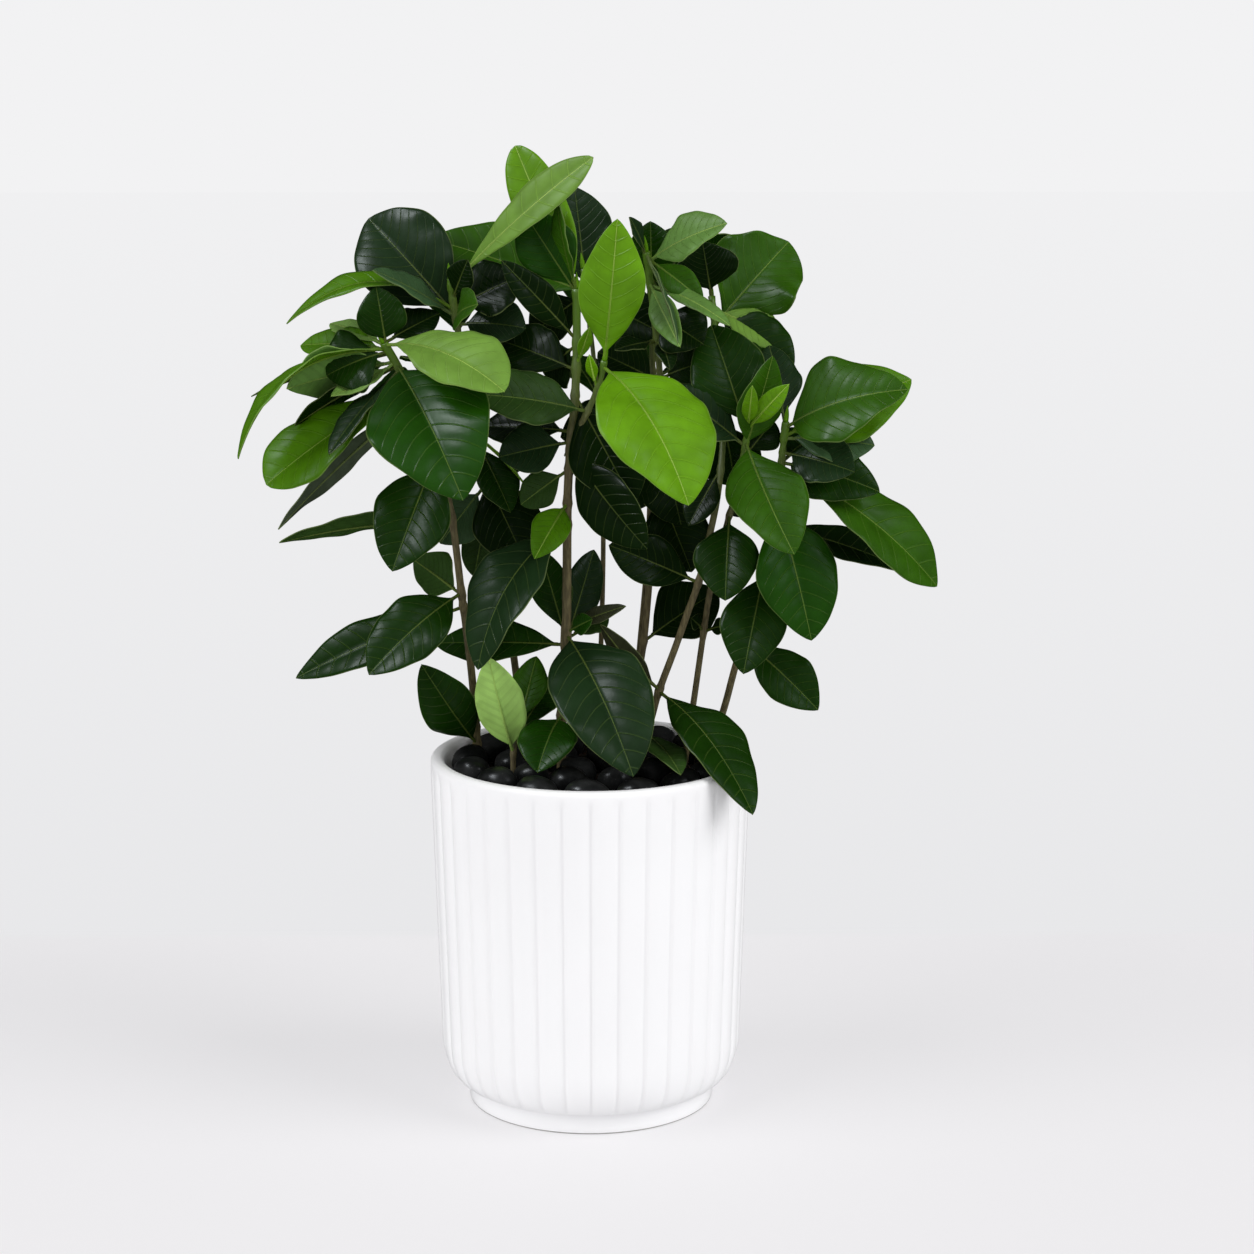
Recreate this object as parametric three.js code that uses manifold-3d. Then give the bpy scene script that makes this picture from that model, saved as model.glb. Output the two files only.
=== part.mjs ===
// A gardenia plant in a round, ribbed, glazed pot with river pebbles on its soil.
// Millimetres, +Z up. The origin is on the pot's axis at its flat underside, and -Y is the plant's front.

import * as THREE from 'three';
import { mergeVertices } from 'three/addons/utils/BufferGeometryUtils.js';
import Module from 'manifold-3d';

const wasm = await Module();
wasm.setup();

// Pot
const potHeight = 173;
const potRadius = 77.5; // over the ribs at the shoulder
const potRadiusAboveCurve = 73.4; // over the ribs where the bottom curve ends
const footRadius = 60;
const footHeight = 11;
const curveTop = 34; // height where the bottom curve meets the tapering wall
const curveStartRadius = 62.5; // over the ribs, just above the foot
const curveStations = [0.02, 0.14, 0.42, 1]; // shares of the bottom curve's height
const wallThickness = 6.5;
const floorThickness = 9;
const innerCurveSide = 1.5;
const innerCurveDrop = 8;
const ribCount = 36;
const ribDepth = 1.3;
const ribCrown = 0.93; // share of the depth at a rib's shoulders
const ribFade = 7; // the ribs run out over this length below the lip
const lipRadius = 2.6;
const lipRound = [0.4, 0.25]; // the lip's middle ring, in and down from its outer corner
const lipFlare = 0.6;
const wallFacets = 40; // round the inside

// Soil and the holes that the stems stand in
const soilTop = 160;
const fitGap = 0.3;
const soilGap = 0.5;
const stemSocketDepth = 18;
const socketGap = 0.4;
const socketSides = 8;

// Pebbles
const pebbleRings = [59.4, 38.2, 17];
const pebbleWidth = 20.8;
const pebbleLength = 24.5;
const pebbleThickness = 16.6;
const pebbleShortest = 9;
const pebbleStretch = 4; // the most that a pebble grows to fill its place
const pebbleRoundness = 1.1;
const pebbleGap = 1;
const pebbleStemGap = 0.8;
const pebbleLengthVaries = 1.2;
const pebbleWidthVaries = 1.4;
const pebbleThicknessVaries = 1.6;
const pebbleFacets = [7, 5]; // round and from end to end
const pebbleSeed = 11;

// Leaves
const petioleLength = 5;
const petioleRadius = 0.9;
const bladeThickness = 1.4; // at the midrib, thinning to the edge
const bladeFold = 10; // degrees that each half rises from the midrib
const baseTaper = 1.15; // above 1 draws the outline in towards a point
const tipTaper = 0.75;
const bladeStations = [0.13, 0.36, 0.62, 0.86];
const smallLeafWidth = 20;
const smallLeafStations = [0.27, 0.66];
const edgeWave = 0.035; // ripple of the edges, of the leaf's width
const waveStep = 2.4; // radians of ripple from one leaf to the next
const waveRun = 9; // radians of ripple along a blade
const waveDrift = 1.1; // of the left edge against the right

// Stems
const axisStep = 18;
const axisSides = 6;
const rootSides = 7;
const rootOverlap = 2;

// Working values
const mergeDistance = 1e-4;
const cleanDistance = 0.01; // slivers thinner than this are closed up after a join
const cutOverrun = 1; // how far a cut runs past a face
const halvings = 30;

const colours = { glaze: 0xf2f2f0, soil: 0x2b211a, pebble: 0x17181a, foliage: 0x2c5a1c };

// A leafy stem has one or more woody axes, each with its leaves. An axis is a list of points up its middle.
// A leaf grows from the axis at the height `at`, reaches to `tip`, and its upper side looks towards
// `face`: degrees round from the front (90 is +X) and degrees above the horizon.
// `bow` arches the leaf towards that side, as a share of its length, `twist` turns it in degrees,
// `wave` multiplies the ripple of its edges, and `widest` is where along it the blade is widest.
const leafyStems = {
  stem_left: [
    {
      radius: 2.1,
      points: [[-55, 20, 160], [-56, 18, 180], [-58, 13, 212], [-62, 8, 250], [-68, 5, 298], [-80, 2, 338],
        [-91, 0, 362], [-97, -2, 373]],
      leaves: [
        { at: 371, tip: [-100, -6, 400], width: 25, face: [0, 38], bow: 0.08, widest: 0.4 },
        { at: 373, tip: [-71, 8, 386], width: 20, face: [0, 45] },
        { at: 372, tip: [-39, -45, 355], width: 42, face: [10, 56], bow: 0.12, widest: 0.6 },
        { at: 372, tip: [-125, 32, 379], width: 16, face: [0, 60] },
        { at: 369, tip: [-124, -6, 358], width: 34, face: [-14, 28], bow: 0.08 },
        { at: 370, tip: [-139, 26, 369], width: 22, face: [-20, 50], bow: 0.04 },
        { at: 370, tip: [-164, -30, 322], width: 26, face: [-85, 60], bow: 0.19 },
        { at: 364, tip: [-143, -6, 352], width: 33, face: [180, 40] },
        { at: 364, tip: [-121, -18, 350], width: 16, face: [-30, 62], bow: -0.05 },
        { at: 368, tip: [-162, 14, 346], width: 12, face: [180, 82] },
        { at: 352, tip: [-153, -12, 307], width: 40, face: [-30, 38], bow: 0.04, widest: 0.68 },
        { at: 362, tip: [-140, -2, 334], width: 18, face: [180, 60] },
        { at: 360, tip: [-121, -36, 325], width: 19, face: [-50, 15], twist: 30 },
        { at: 345, tip: [-149, -2, 284], width: 15, face: [190, 25], bow: 0.05, twist: 60, wave: 3 },
        { at: 362, tip: [-58, -60, 307], width: 60, face: [-4, 42], bow: 0.12 },
        { at: 286, tip: [-149, 2, 277], width: 23, face: [180, 60], bow: 0.04 },
        { at: 318, tip: [-93, -27, 268], width: 38, face: [-8, 12], bow: 0.05 },
        { at: 250, tip: [-86, 22, 265], width: 24, face: [185, 12] },
        { at: 251, tip: [-105, -26, 218], width: 35, face: [-15, 28], bow: 0.08 },
        { at: 244, tip: [-143, 8, 209], width: 26, face: [0, 42], bow: 0.04 },
        { at: 173, tip: [-81, -8, 219], width: 27, face: [-8, 12], bow: 0.06 },
        { at: 182, tip: [-47, 12, 207], width: 13, face: [200, 10] },
        { at: 345, tip: [-112, 62, 338], width: 32, face: [-30, 55], bow: 0.08 },
        { at: 290, tip: [-98, 62, 262], width: 32, face: [-40, 45], bow: 0.08 },
      ],
    },
  ],
  stem_left_back: [
    {
      radius: 2,
      points: [[-32, 38, 160], [-34, 38, 180], [-40, 36, 230], [-48, 32, 280], [-56, 26, 330],
        [-61, 20, 365], [-65, 14, 392], [-66, 12, 402]],
      leaves: [
        { at: 385, tip: [-106, 36, 429], width: 49, face: [-12, 25], bow: 0.1 },
        { at: 387, tip: [-143, 0, 382], width: 20, face: [0, 73], bow: 0.22 },
        { at: 384, tip: [-101, -10, 408], width: 20, face: [0, 58] },
        { at: 382, tip: [-52, -22, 393], width: 21, face: [-20, 24], bow: 0.06 },
        { at: 398, tip: [2, -8, 460], width: 21, face: [20, 44], bow: 0.05, widest: 0.66 },
        { at: 392, tip: [-57, -2, 412], width: 15, face: [0, 25] },
        { at: 380, tip: [-30, 6, 379], width: 31, face: [15, 40], bow: 0.06 },
        { at: 322, tip: [-38, 4, 291], width: 22, face: [25, 10] },
        { at: 326, tip: [-31, 12, 303], width: 9, face: [80, 10] },
        { at: 306, tip: [-30, 12, 262], width: 36, face: [12, 12], bow: 0.06 },
        { at: 300, tip: [-73, 26, 272], width: 28, face: [-18, 5] },
        { at: 290, tip: [-57, 34, 254], width: 19, face: [0, 10] },
        { at: 340, tip: [-92, 78, 356], width: 34, face: [200, 60], bow: 0.08 },
        { at: 344, tip: [-42, 92, 350], width: 34, face: [170, 55], bow: 0.1 },
        { at: 300, tip: [-40, 90, 296], width: 34, face: [180, 55], bow: 0.1 },
        { at: 372, tip: [-80, 84, 398], width: 32, face: [190, 50], bow: 0.08 },
        { at: 398, tip: [-90, 60, 420], width: 28, face: [190, 45], bow: 0.06 },
        { at: 388, tip: [-33, 14, 403], width: 30, face: [0, 30] },
      ],
    },
  ],
  stem_low: [
    {
      radius: 1.6,
      points: [[-37, -14, 160], [-37, -14, 177], [-34, -12, 190]],
      leaves: [
        { at: 177, tip: [-48, -26, 226], width: 25, face: [175, 8], bow: -0.06, widest: 0.42 },
        { at: 189, tip: [-26, 6, 220], width: 18, face: [0, 20] },
        { at: 186, tip: [-17, 22, 206], width: 18, face: [0, 30] },
      ],
    },
  ],
  stem_centre: [
    {
      radius: 2.5,
      points: [[-14, -5, 160], [-14, -5, 190], [-11.5, -5, 232], [-11, -5, 262], [-10.5, -4, 300],
        [-9, -3, 325], [-7, -2, 345], [-6, 0, 370], [-6, 2, 398]],
      leaves: [
        { at: 193, tip: [-25, -42, 174], width: 30, face: [-8, 46], bow: 0.1 },
        { at: 228, tip: [-77, 47, 218], width: 25, face: [0, 36], bow: 0.02 },
        { at: 286, tip: [-53, -34, 222], width: 40, face: [-40, 25], bow: 0.16 },
        { at: 297, tip: [-26, -28, 274], width: 21, face: [0, 25], bow: 0.08 },
        { at: 231, tip: [-24, 12, 271], width: 20, face: [0, 15] },
        { at: 229, tip: [2, 14, 271], width: 20, face: [5, 5] },
        { at: 233, tip: [20, -62, 177], width: 50, face: [8, 42], bow: 0.1, widest: 0.46 },
        { at: 231, tip: [9, 8, 239], width: 15, face: [0, 50] },
        { at: 236, tip: [17, -16, 249], width: 9, face: [0, 40] },
        { at: 234, tip: [1, -18, 243], width: 11, face: [-20, 20] },
        { at: 326, tip: [-43, -12, 320], width: 27, face: [0, 30] },
        { at: 313, tip: [-33, 2, 295], width: 19, face: [0, 25] },
        { at: 322, tip: [27, -24, 278], width: 29, face: [-25, 8], bow: 0.06 },
        { at: 360, tip: [-44, 14, 373], width: 30, face: [0, 35] },
        { at: 331, tip: [-52, 14, 331], width: 26, face: [0, 40] },
        { at: 374, tip: [-41, -6, 412], width: 17, face: [-8, 25], bow: 0.04 },
        { at: 396, tip: [-31, 8, 434], width: 29, face: [-12, 22], bow: 0.06 },
        { at: 397, tip: [-15, -6, 440], width: 17, face: [-62, 10] },
        { at: 397, tip: [-35, 24, 464], width: 27, face: [-10, 12] },
        { at: 362, tip: [0, -12, 381], width: 7, face: [20, 10] },
        { at: 372, tip: [-22, 18, 356], width: 28, face: [0, 20] },
        { at: 343, tip: [-30, 20, 338], width: 22, face: [0, 20] },
        { at: 348, tip: [21, -9, 297], width: 38, face: [5, 8] },
      ],
    },
    {
      radius: 1.6,
      points: [[-9, -3, 326], [-1, -7, 341], [5, -12, 356], [7, -15, 366]],
      leaves: [
        { at: 341, tip: [-54, -22, 351], width: 32, face: [0, 40], bow: 0.05 },
        { at: 365, tip: [13, -32, 433], width: 31, face: [5, 4], bow: 0.05 },
        { at: 363, tip: [45, -70, 306], width: 58, face: [20, 44], bow: 0.12 },
        { at: 352, tip: [0, -16, 369], width: 6, face: [-20, 10] },
      ],
    },
  ],
  stem_thin: [
    {
      radius: 1.4,
      points: [[2, 45, 160], [4, 45, 190], [6, 42, 235], [6.5, 40, 290], [4, 42, 340], [0, 45, 380],
        [-3, 46, 404]],
      leaves: [
        { at: 392, tip: [-7, 54, 443], width: 34, face: [5, 8] },
        { at: 392, tip: [-77, 40, 419], width: 37, face: [0, 38] },
        { at: 391, tip: [35, 44, 373], width: 30, face: [0, 15] },
        { at: 392, tip: [-29, 56, 371], width: 25, face: [0, 20] },
        { at: 300, tip: [2, 108, 300], width: 34, face: [180, 60], bow: 0.1 },
        { at: 340, tip: [-18, 112, 352], width: 34, face: [190, 58], bow: 0.1 },
        { at: 376, tip: [-30, 100, 398], width: 32, face: [190, 50], bow: 0.1 },
        { at: 402, tip: [8, 88, 422], width: 30, face: [170, 40], bow: 0.08 },
      ],
    },
  ],
  stem_middle: [
    {
      radius: 1.9,
      points: [[16, 26, 160], [19, 25, 180], [26, 22, 222], [29, 20, 255], [32, 18, 300], [34, 16, 350],
        [30, 12, 390], [27, 8, 415]],
      leaves: [
        { at: 414, tip: [41, -34, 376], width: 12, face: [75, 10] },
        { at: 412, tip: [19, -2, 432], width: 10, face: [60, 10] },
        { at: 400, tip: [42, -30, 374], width: 14, face: [-20, 25] },
        { at: 410, tip: [64, -16, 430], width: 26, face: [0, 42], bow: 0.06 },
        { at: 404, tip: [36, 18, 392], width: 14, face: [0, 20] },
        { at: 412, tip: [54, 4, 392], width: 16, face: [15, 20] },
        { at: 399, tip: [66, -12, 382], width: 13, face: [0, 66], bow: 0.06 },
        { at: 372, tip: [12, -6, 370], width: 13, face: [0, 60] },
        { at: 372, tip: [38, -10, 361], width: 11, face: [20, 40], bow: 0.1 },
        { at: 302, tip: [49, 2, 262], width: 34, face: [10, 10] },
        { at: 224, tip: [63, 34, 247], width: 34, face: [0, 38] },
        { at: 336, tip: [-14, 13, 326], width: 32, face: [0, 35] },
        { at: 320, tip: [15, 6, 291], width: 24, face: [0, 15] },
        { at: 352, tip: [4, 22, 366], width: 30, face: [0, 35] },
        { at: 354, tip: [56, 2, 364], width: 24, face: [0, 35] },
        { at: 386, tip: [54, 0, 372], width: 30, face: [0, 30] },
        { at: 326, tip: [44, 8, 284], width: 36, face: [5, 12] },
        { at: 340, tip: [62, 72, 330], width: 32, face: [165, 60], bow: 0.1 },
      ],
    },
  ],
  stem_right: [
    {
      radius: 1.9,
      points: [[17, 5, 160], [23, 5, 170], [29, 4, 187], [33, 3, 202], [41, 0, 225], [47, -2, 243],
        [52, -4, 258], [57, -5, 280], [61, -3, 300], [64, 10, 330], [62, 22, 360], [59, 30, 392]],
      leaves: [
        { at: 181, tip: [45, -55, 181], width: 16, face: [20, 60], bow: 0.04 },
        { at: 203, tip: [76, -60, 158], width: 34, face: [30, 48], bow: 0.09 },
        { at: 204, tip: [5, -10, 239], width: 13, face: [195, 35], bow: -0.1, twist: 40 },
        { at: 258, tip: [9, -8, 277], width: 26, face: [0, 25], bow: 0.04 },
        { at: 378, tip: [97, 46, 417], width: 49, face: [4, 30], bow: 0.04, wave: 3, widest: 0.54 },
        { at: 386, tip: [95, 20, 368], width: 22, face: [10, 35], bow: 0.06 },
        { at: 384, tip: [98, 14, 360], width: 29, face: [5, 35], bow: 0.05 },
        { at: 391, tip: [54, 20, 419], width: 32, face: [-5, 20] },
        { at: 312, tip: [47, -12, 287], width: 18, face: [-20, 20] },
        { at: 336, tip: [71, 34, 300], width: 32, face: [8, 5] },
      ],
    },
  ],
  stem_right_front: [
    {
      radius: 1.7,
      points: [[46, 14, 160], [47, 14, 170], [51, 14, 198], [55, 13, 228], [58, 10, 250], [62, 6, 270],
        [67, 2, 290], [71, -2, 306], [74, -4, 324], [75, -6, 334]],
      leaves: [
        { at: 231, tip: [49, 4, 239], width: 9, face: [0, 30] },
        { at: 231, tip: [67, 2, 236], width: 9, face: [0, 30] },
        { at: 290, tip: [64, -24, 253], width: 32, face: [-5, 22], bow: 0.06 },
        { at: 326, tip: [95, -46, 279], width: 39, face: [10, 34], bow: 0.08 },
        { at: 318, tip: [88, 4, 335], width: 21, face: [0, 30] },
        { at: 332, tip: [76, -10, 352], width: 8, face: [0, 10] },
        { at: 332, tip: [90, -14, 352], width: 11, face: [0, 20] },
        { at: 322, tip: [86, -15, 368], width: 23, face: [25, 25], bow: 0.02, widest: 0.42 },
        { at: 331, tip: [58, 10, 380], width: 37, face: [-8, 28], bow: 0.08 },
        { at: 324, tip: [37, -10, 352], width: 28, face: [-5, 40], bow: 0.04 },
      ],
    },
  ],
  stem_far_right: [
    {
      radius: 1.9,
      points: [[57, 22, 160], [59, 22, 168], [66, 18, 192], [71, 12, 214], [77, 8, 235], [84, 4, 262],
        [88, 0, 290], [91, -3, 312], [92, -6, 326], [93, -7, 336]],
      leaves: [
        { at: 227, tip: [110, -8, 196], width: 27, face: [5, 28], bow: 0.06 },
        { at: 264, tip: [73, -22, 217], width: 32, face: [-5, 15], bow: 0.05 },
        { at: 297, tip: [105, -26, 234], width: 41, face: [10, 15], bow: 0.05 },
        { at: 285, tip: [154, 12, 261], width: 20, face: [0, 50], bow: 0.04 },
        { at: 314, tip: [166, -10, 257], width: 38, face: [20, 46], bow: 0.09, widest: 0.61 },
        { at: 316, tip: [137, -18, 304], width: 33, face: [0, 32], bow: 0.08, widest: 0.37 },
        { at: 321, tip: [124, -28, 315], width: 30, face: [-4, 38], bow: 0.04 },
        { at: 328, tip: [135, -10, 325], width: 30, face: [0, 42], bow: 0.05 },
        { at: 333, tip: [148, -30, 354], width: 46, face: [-6, 40], bow: 0.11, widest: 0.4 },
        { at: 329, tip: [154, 10, 354], width: 41, face: [0, 34], widest: 0.43 },
        { at: 334, tip: [86, 14, 370], width: 24, face: [10, 35] },
        { at: 299, tip: [67, 14, 289], width: 11, face: [0, 20] },
        { at: 262, tip: [118, 62, 258], width: 32, face: [150, 58], bow: 0.08 },
        { at: 316, tip: [132, 58, 322], width: 32, face: [150, 55], bow: 0.08 },
      ],
    },
  ],
  stem_back: [
    {
      radius: 1.9,
      points: [[22, 52, 160], [24, 54, 200], [29, 58, 260], [31, 60, 320], [31, 62, 370], [30, 62, 400]],
      leaves: [
        { at: 300, tip: [78, 84, 296], width: 34, face: [150, 60], bow: 0.1 },
        { at: 304, tip: [42, 126, 310], width: 34, face: [180, 58], bow: 0.1 },
        { at: 348, tip: [88, 92, 356], width: 34, face: [150, 58], bow: 0.1 },
        { at: 352, tip: [30, 126, 364], width: 34, face: [180, 58], bow: 0.1 },
        { at: 394, tip: [80, 86, 414], width: 30, face: [150, 50], bow: 0.08 },
        { at: 396, tip: [44, 112, 420], width: 32, face: [180, 45], bow: 0.08 },
        { at: 390, tip: [30, 60, 426], width: 26, face: [10, 10] },
      ],
    },
  ],
};

// Solids

function toSolid(geometry) {
  const bare = geometry.index ? geometry.toNonIndexed() : geometry.clone();
  bare.deleteAttribute('normal');
  bare.deleteAttribute('uv');
  const merged = mergeVertices(bare, mergeDistance);
  return new wasm.Manifold(new wasm.Mesh({
    numProp: 3,
    vertProperties: new Float32Array(merged.attributes.position.array),
    triVerts: new Uint32Array(merged.index.array),
  }));
}

function toGeometry(solid) {
  const mesh = solid.getMesh();
  const geometry = new THREE.BufferGeometry();
  geometry.setAttribute('position', new THREE.BufferAttribute(new Float32Array(mesh.vertProperties), 3));
  geometry.setIndex(Array.from(mesh.triVerts));
  geometry.computeVertexNormals();
  return geometry;
}

function surface(points, triangles) {
  const geometry = new THREE.BufferGeometry();
  const coordinates = points.flatMap((point) => point.toArray());
  geometry.setAttribute('position', new THREE.Float32BufferAttribute(coordinates, 3));
  geometry.setIndex(triangles.flat());
  return geometry;
}

function joinAll(solids) {
  return solids.reduce((whole, next) => whole.add(next));
}

function lathe(profile, segments) {
  const outline = profile.map(([r, z]) => new THREE.Vector2(r, z));
  return new THREE.LatheGeometry(outline, segments).rotateX(Math.PI / 2);
}

// An upright cylinder that hangs from a point at the middle of its top face.
function cylinderBelow(x, y, top, radius, height, segments) {
  const cylinder = new THREE.CylinderGeometry(radius, radius, height, segments);
  cylinder.rotateX(Math.PI / 2).translate(x, y, top - height / 2);
  return toSolid(cylinder);
}

// Closed skin over rings of points that go round the Z axis, with a flat fan on the first and last ring.
function ringSkin(rings) {
  const count = rings[0].length;
  const points = rings.flat();
  const bottom = points.length;
  const top = bottom + 1;
  points.push(new THREE.Vector3(0, 0, rings[0][0].z), new THREE.Vector3(0, 0, rings.at(-1)[0].z));
  const last = (rings.length - 1) * count;
  const triangles = [];
  for (let i = 0; i < count; i += 1) {
    const j = (i + 1) % count;
    triangles.push([bottom, j, i], [top, last + i, last + j]);
    for (let ring = 0; ring < last; ring += count) {
      const next = ring + count;
      triangles.push([ring + i, ring + j, next + j], [ring + i, next + j, next + i]);
    }
  }
  return surface(points, triangles);
}

// Pot

// Each rib takes three points: one in the groove and two on its crown.
function ribbedRing(radius, z, depth) {
  const shares = [0, ribCrown, ribCrown];
  const total = ribCount * shares.length;
  const ring = [];
  for (let i = 0; i < total; i += 1) {
    const angle = (i / total) * 2 * Math.PI;
    const r = radius - depth * (1 - shares[i % shares.length]);
    ring.push(new THREE.Vector3(r * Math.cos(angle), r * Math.sin(angle), z));
  }
  return ring;
}

// Radius over the ribs on the quarter-round bottom curve.
function curveRadius(z) {
  const share = (z - footHeight) / (curveTop - footHeight);
  const bulge = Math.sqrt(1 - (1 - share) ** 2);
  return curveStartRadius + (potRadiusAboveCurve - curveStartRadius) * bulge;
}

// Radius of the pot's inside at a height on the tapering wall.
function innerRadius(z) {
  const share = (z - curveTop) / (potHeight - lipRadius - curveTop);
  return potRadiusAboveCurve - wallThickness + (potRadius - potRadiusAboveCurve) * share;
}

// The inside's outline up to the tapering wall, held back from the pot by a gap. It starts on the axis.
function innerBottom(gap) {
  const floor = floorThickness + gap;
  return [
    [0, floor],
    [footRadius - wallThickness - gap, floor],
    [innerRadius(curveTop) - innerCurveSide - gap, curveTop - innerCurveDrop],
    [innerRadius(curveTop) - gap, curveTop],
  ];
}

function makePot() {
  const curveHeights = curveStations.map((share) => footHeight + share * (curveTop - footHeight));
  const lipStart = potHeight - lipRadius;
  const skin = ringSkin([
    ribbedRing(footRadius, 0, 0),
    ribbedRing(footRadius, footHeight, 0),
    ...curveHeights.map((z) => ribbedRing(curveRadius(z), z, ribDepth)),
    ribbedRing(potRadius, lipStart - ribFade, ribDepth),
    ribbedRing(potRadius, lipStart, 0),
    ribbedRing(potRadius - lipRadius * lipRound[0], potHeight - lipRadius * lipRound[1], 0),
    ribbedRing(potRadius - lipRadius, potHeight, 0),
  ]);
  const mouth = potRadius - wallThickness + lipRadius * lipFlare;
  const above = potHeight + cutOverrun;
  const cavity = lathe([
    ...innerBottom(0), [innerRadius(lipStart), lipStart], [mouth, potHeight], [mouth, above], [0, above],
  ], wallFacets);
  return toSolid(skin).subtract(toSolid(cavity));
}

// Soil

function makeSoil(sockets) {
  const outline = [...innerBottom(soilGap), [innerRadius(soilTop) - soilGap, soilTop], [0, soilTop]];
  const depth = stemSocketDepth + cutOverrun;
  const holes = sockets.map(({ x, y, radius }) => (
    cylinderBelow(x, y, soilTop + cutOverrun, radius + socketGap, depth, socketSides)
  ));
  return toSolid(lathe(outline, wallFacets)).subtract(joinAll(holes));
}

// Pebbles

function randomFrom(seed) {
  const range = 2 ** 32;
  let state = seed;
  return () => {
    state = (state * 1664525 + 1013904223) % range;
    return state / range;
  };
}

// Each ring of pebbles is cut by the stems that come up through it, and each stretch is filled end to end.
function pebblePlaces(sockets) {
  const places = [];
  for (const ring of pebbleRings) {
    const stops = sockets
      .filter(({ x, y, radius }) => Math.abs(Math.hypot(x, y) - ring) < pebbleWidth / 2 + radius + fitGap)
      .map(({ x, y, radius }) => ({ angle: Math.atan2(y, x), half: (radius + pebbleStemGap) / ring }))
      .sort((a, b) => a.angle - b.angle);
    stops.forEach((stop, i) => {
      const next = stops[(i + 1) % stops.length];
      const start = stop.angle + stop.half;
      const turn = i === stops.length - 1 ? 2 * Math.PI : 0;
      const end = next.angle - next.half + turn;
      if ((end - start) * ring < pebbleShortest) return;
      const count = Math.max(1, Math.round(((end - start) * ring) / pebbleLength));
      const step = (end - start) / count;
      for (let n = 0; n < count; n += 1) {
        places.push({ ring, angle: start + (n + 0.5) * step, length: 2 * ring * Math.sin(step / 2) });
      }
    });
  }
  return places;
}

function makePebble(place, random) {
  const longest = Math.min(place.length, pebbleLength + pebbleStretch);
  const length = longest - pebbleGap - pebbleLengthVaries * random();
  const widest = Math.min(pebbleWidth, length * pebbleRoundness);
  const width = widest - 2 * fitGap - pebbleWidthVaries * random();
  const thickness = Math.min(pebbleThickness, length) - pebbleThicknessVaries * random();
  const [round, tall] = pebbleFacets;
  const stone = new THREE.SphereGeometry(0.5, round, tall).rotateX(Math.PI / 2);
  stone.scale(width, length, thickness);
  stone.translate(place.ring, 0, soilTop + fitGap + thickness / 2);
  stone.rotateZ(place.angle);
  return toSolid(stone);
}

// Leaves and stems

function facing([round, rise]) {
  const a = THREE.MathUtils.degToRad(round);
  const e = THREE.MathUtils.degToRad(rise);
  return new THREE.Vector3(Math.sin(a) * Math.cos(e), -Math.cos(a) * Math.cos(e), Math.sin(e));
}

// Half width at a share of the blade's length, from 0 at both ends to 1 at the widest place.
function bladeOutline(share, widest) {
  const shifted = share ** (Math.log(0.5) / Math.log(widest));
  return Math.sin(Math.PI * shifted) ** (baseTaper + (tipTaper - baseTaper) * share);
}

// The skin of a run of four-cornered sections that ends in a single point.
function pointedSkin(sections, tip) {
  const triangles = [[0, 2, 1], [0, 3, 2]];
  const last = (sections.length - 1) * 4;
  for (let k = 0; k < last; k += 4) {
    const [top, right, bottom, left] = [k, k + 1, k + 2, k + 3];
    triangles.push([right, top + 4, top], [right, right + 4, top + 4]);
    triangles.push([right, bottom, bottom + 4], [right, bottom + 4, right + 4]);
    triangles.push([left, top, top + 4], [left, top + 4, left + 4]);
    triangles.push([left, bottom + 4, bottom], [left, left + 4, bottom + 4]);
  }
  const end = last + 4;
  triangles.push([last, last + 1, end], [last + 1, last + 2, end]);
  triangles.push([last + 2, last + 3, end], [last + 3, last, end]);
  return surface([...sections.flat(), tip], triangles);
}

// A leaf's sections have their corners on the upper midrib, right edge, lower midrib and left edge.
function makeLeaf(base, leaf, index) {
  const { bow = 0.03, twist = 0, wave = 1, widest = 0.5 } = leaf;
  const tip = new THREE.Vector3(...leaf.tip);
  const chord = tip.clone().sub(base);
  const length = chord.length();
  const along = chord.clone().normalize();
  const look = facing(leaf.face);
  const outward = look.addScaledVector(along, -look.dot(along)).normalize();
  const side = along.clone().cross(outward);
  const rise = 4 * bow * length;
  const fold = THREE.MathUtils.degToRad(bladeFold);
  const petiole = petioleLength / length;

  const section = (t, half, thick, lifts) => {
    const middle = base.clone().addScaledVector(chord, t).addScaledVector(outward, rise * t * (1 - t));
    const tangent = chord.clone().addScaledVector(outward, rise * (1 - 2 * t)).normalize();
    const turn = THREE.MathUtils.degToRad(twist) * (t - 0.5);
    const right = side.clone().applyAxisAngle(tangent, -turn);
    const normal = right.clone().cross(tangent).normalize();
    const edge = (sign, lift) => middle.clone()
      .addScaledVector(right, sign * half * Math.cos(fold))
      .addScaledVector(normal, half * Math.sin(fold) + lift);
    return [
      middle.clone().addScaledVector(normal, thick),
      edge(1, lifts[0]),
      middle.clone().addScaledVector(normal, -thick),
      edge(-1, lifts[1]),
    ];
  };

  const sections = [
    section(0, petioleRadius, petioleRadius, [0, 0]),
    section(petiole, petioleRadius, petioleRadius, [0, 0]),
  ];
  for (const share of leaf.width < smallLeafWidth ? smallLeafStations : bladeStations) {
    const phase = index * waveStep + share * waveRun;
    const ripple = edgeWave * wave * leaf.width * Math.sin(Math.PI * share);
    const lifts = [ripple * Math.sin(phase), ripple * Math.cos(phase * waveDrift)];
    const half = Math.max(petioleRadius, (leaf.width / 2) * bladeOutline(share, widest));
    sections.push(section(petiole + share * (1 - petiole), half, bladeThickness / 2, lifts));
  }
  return toSolid(pointedSkin(sections, tip));
}

function axisCurve(points) {
  const path = points.map((point) => new THREE.Vector3(...point));
  return new THREE.CatmullRomCurve3(path, false, 'centripetal');
}

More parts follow.
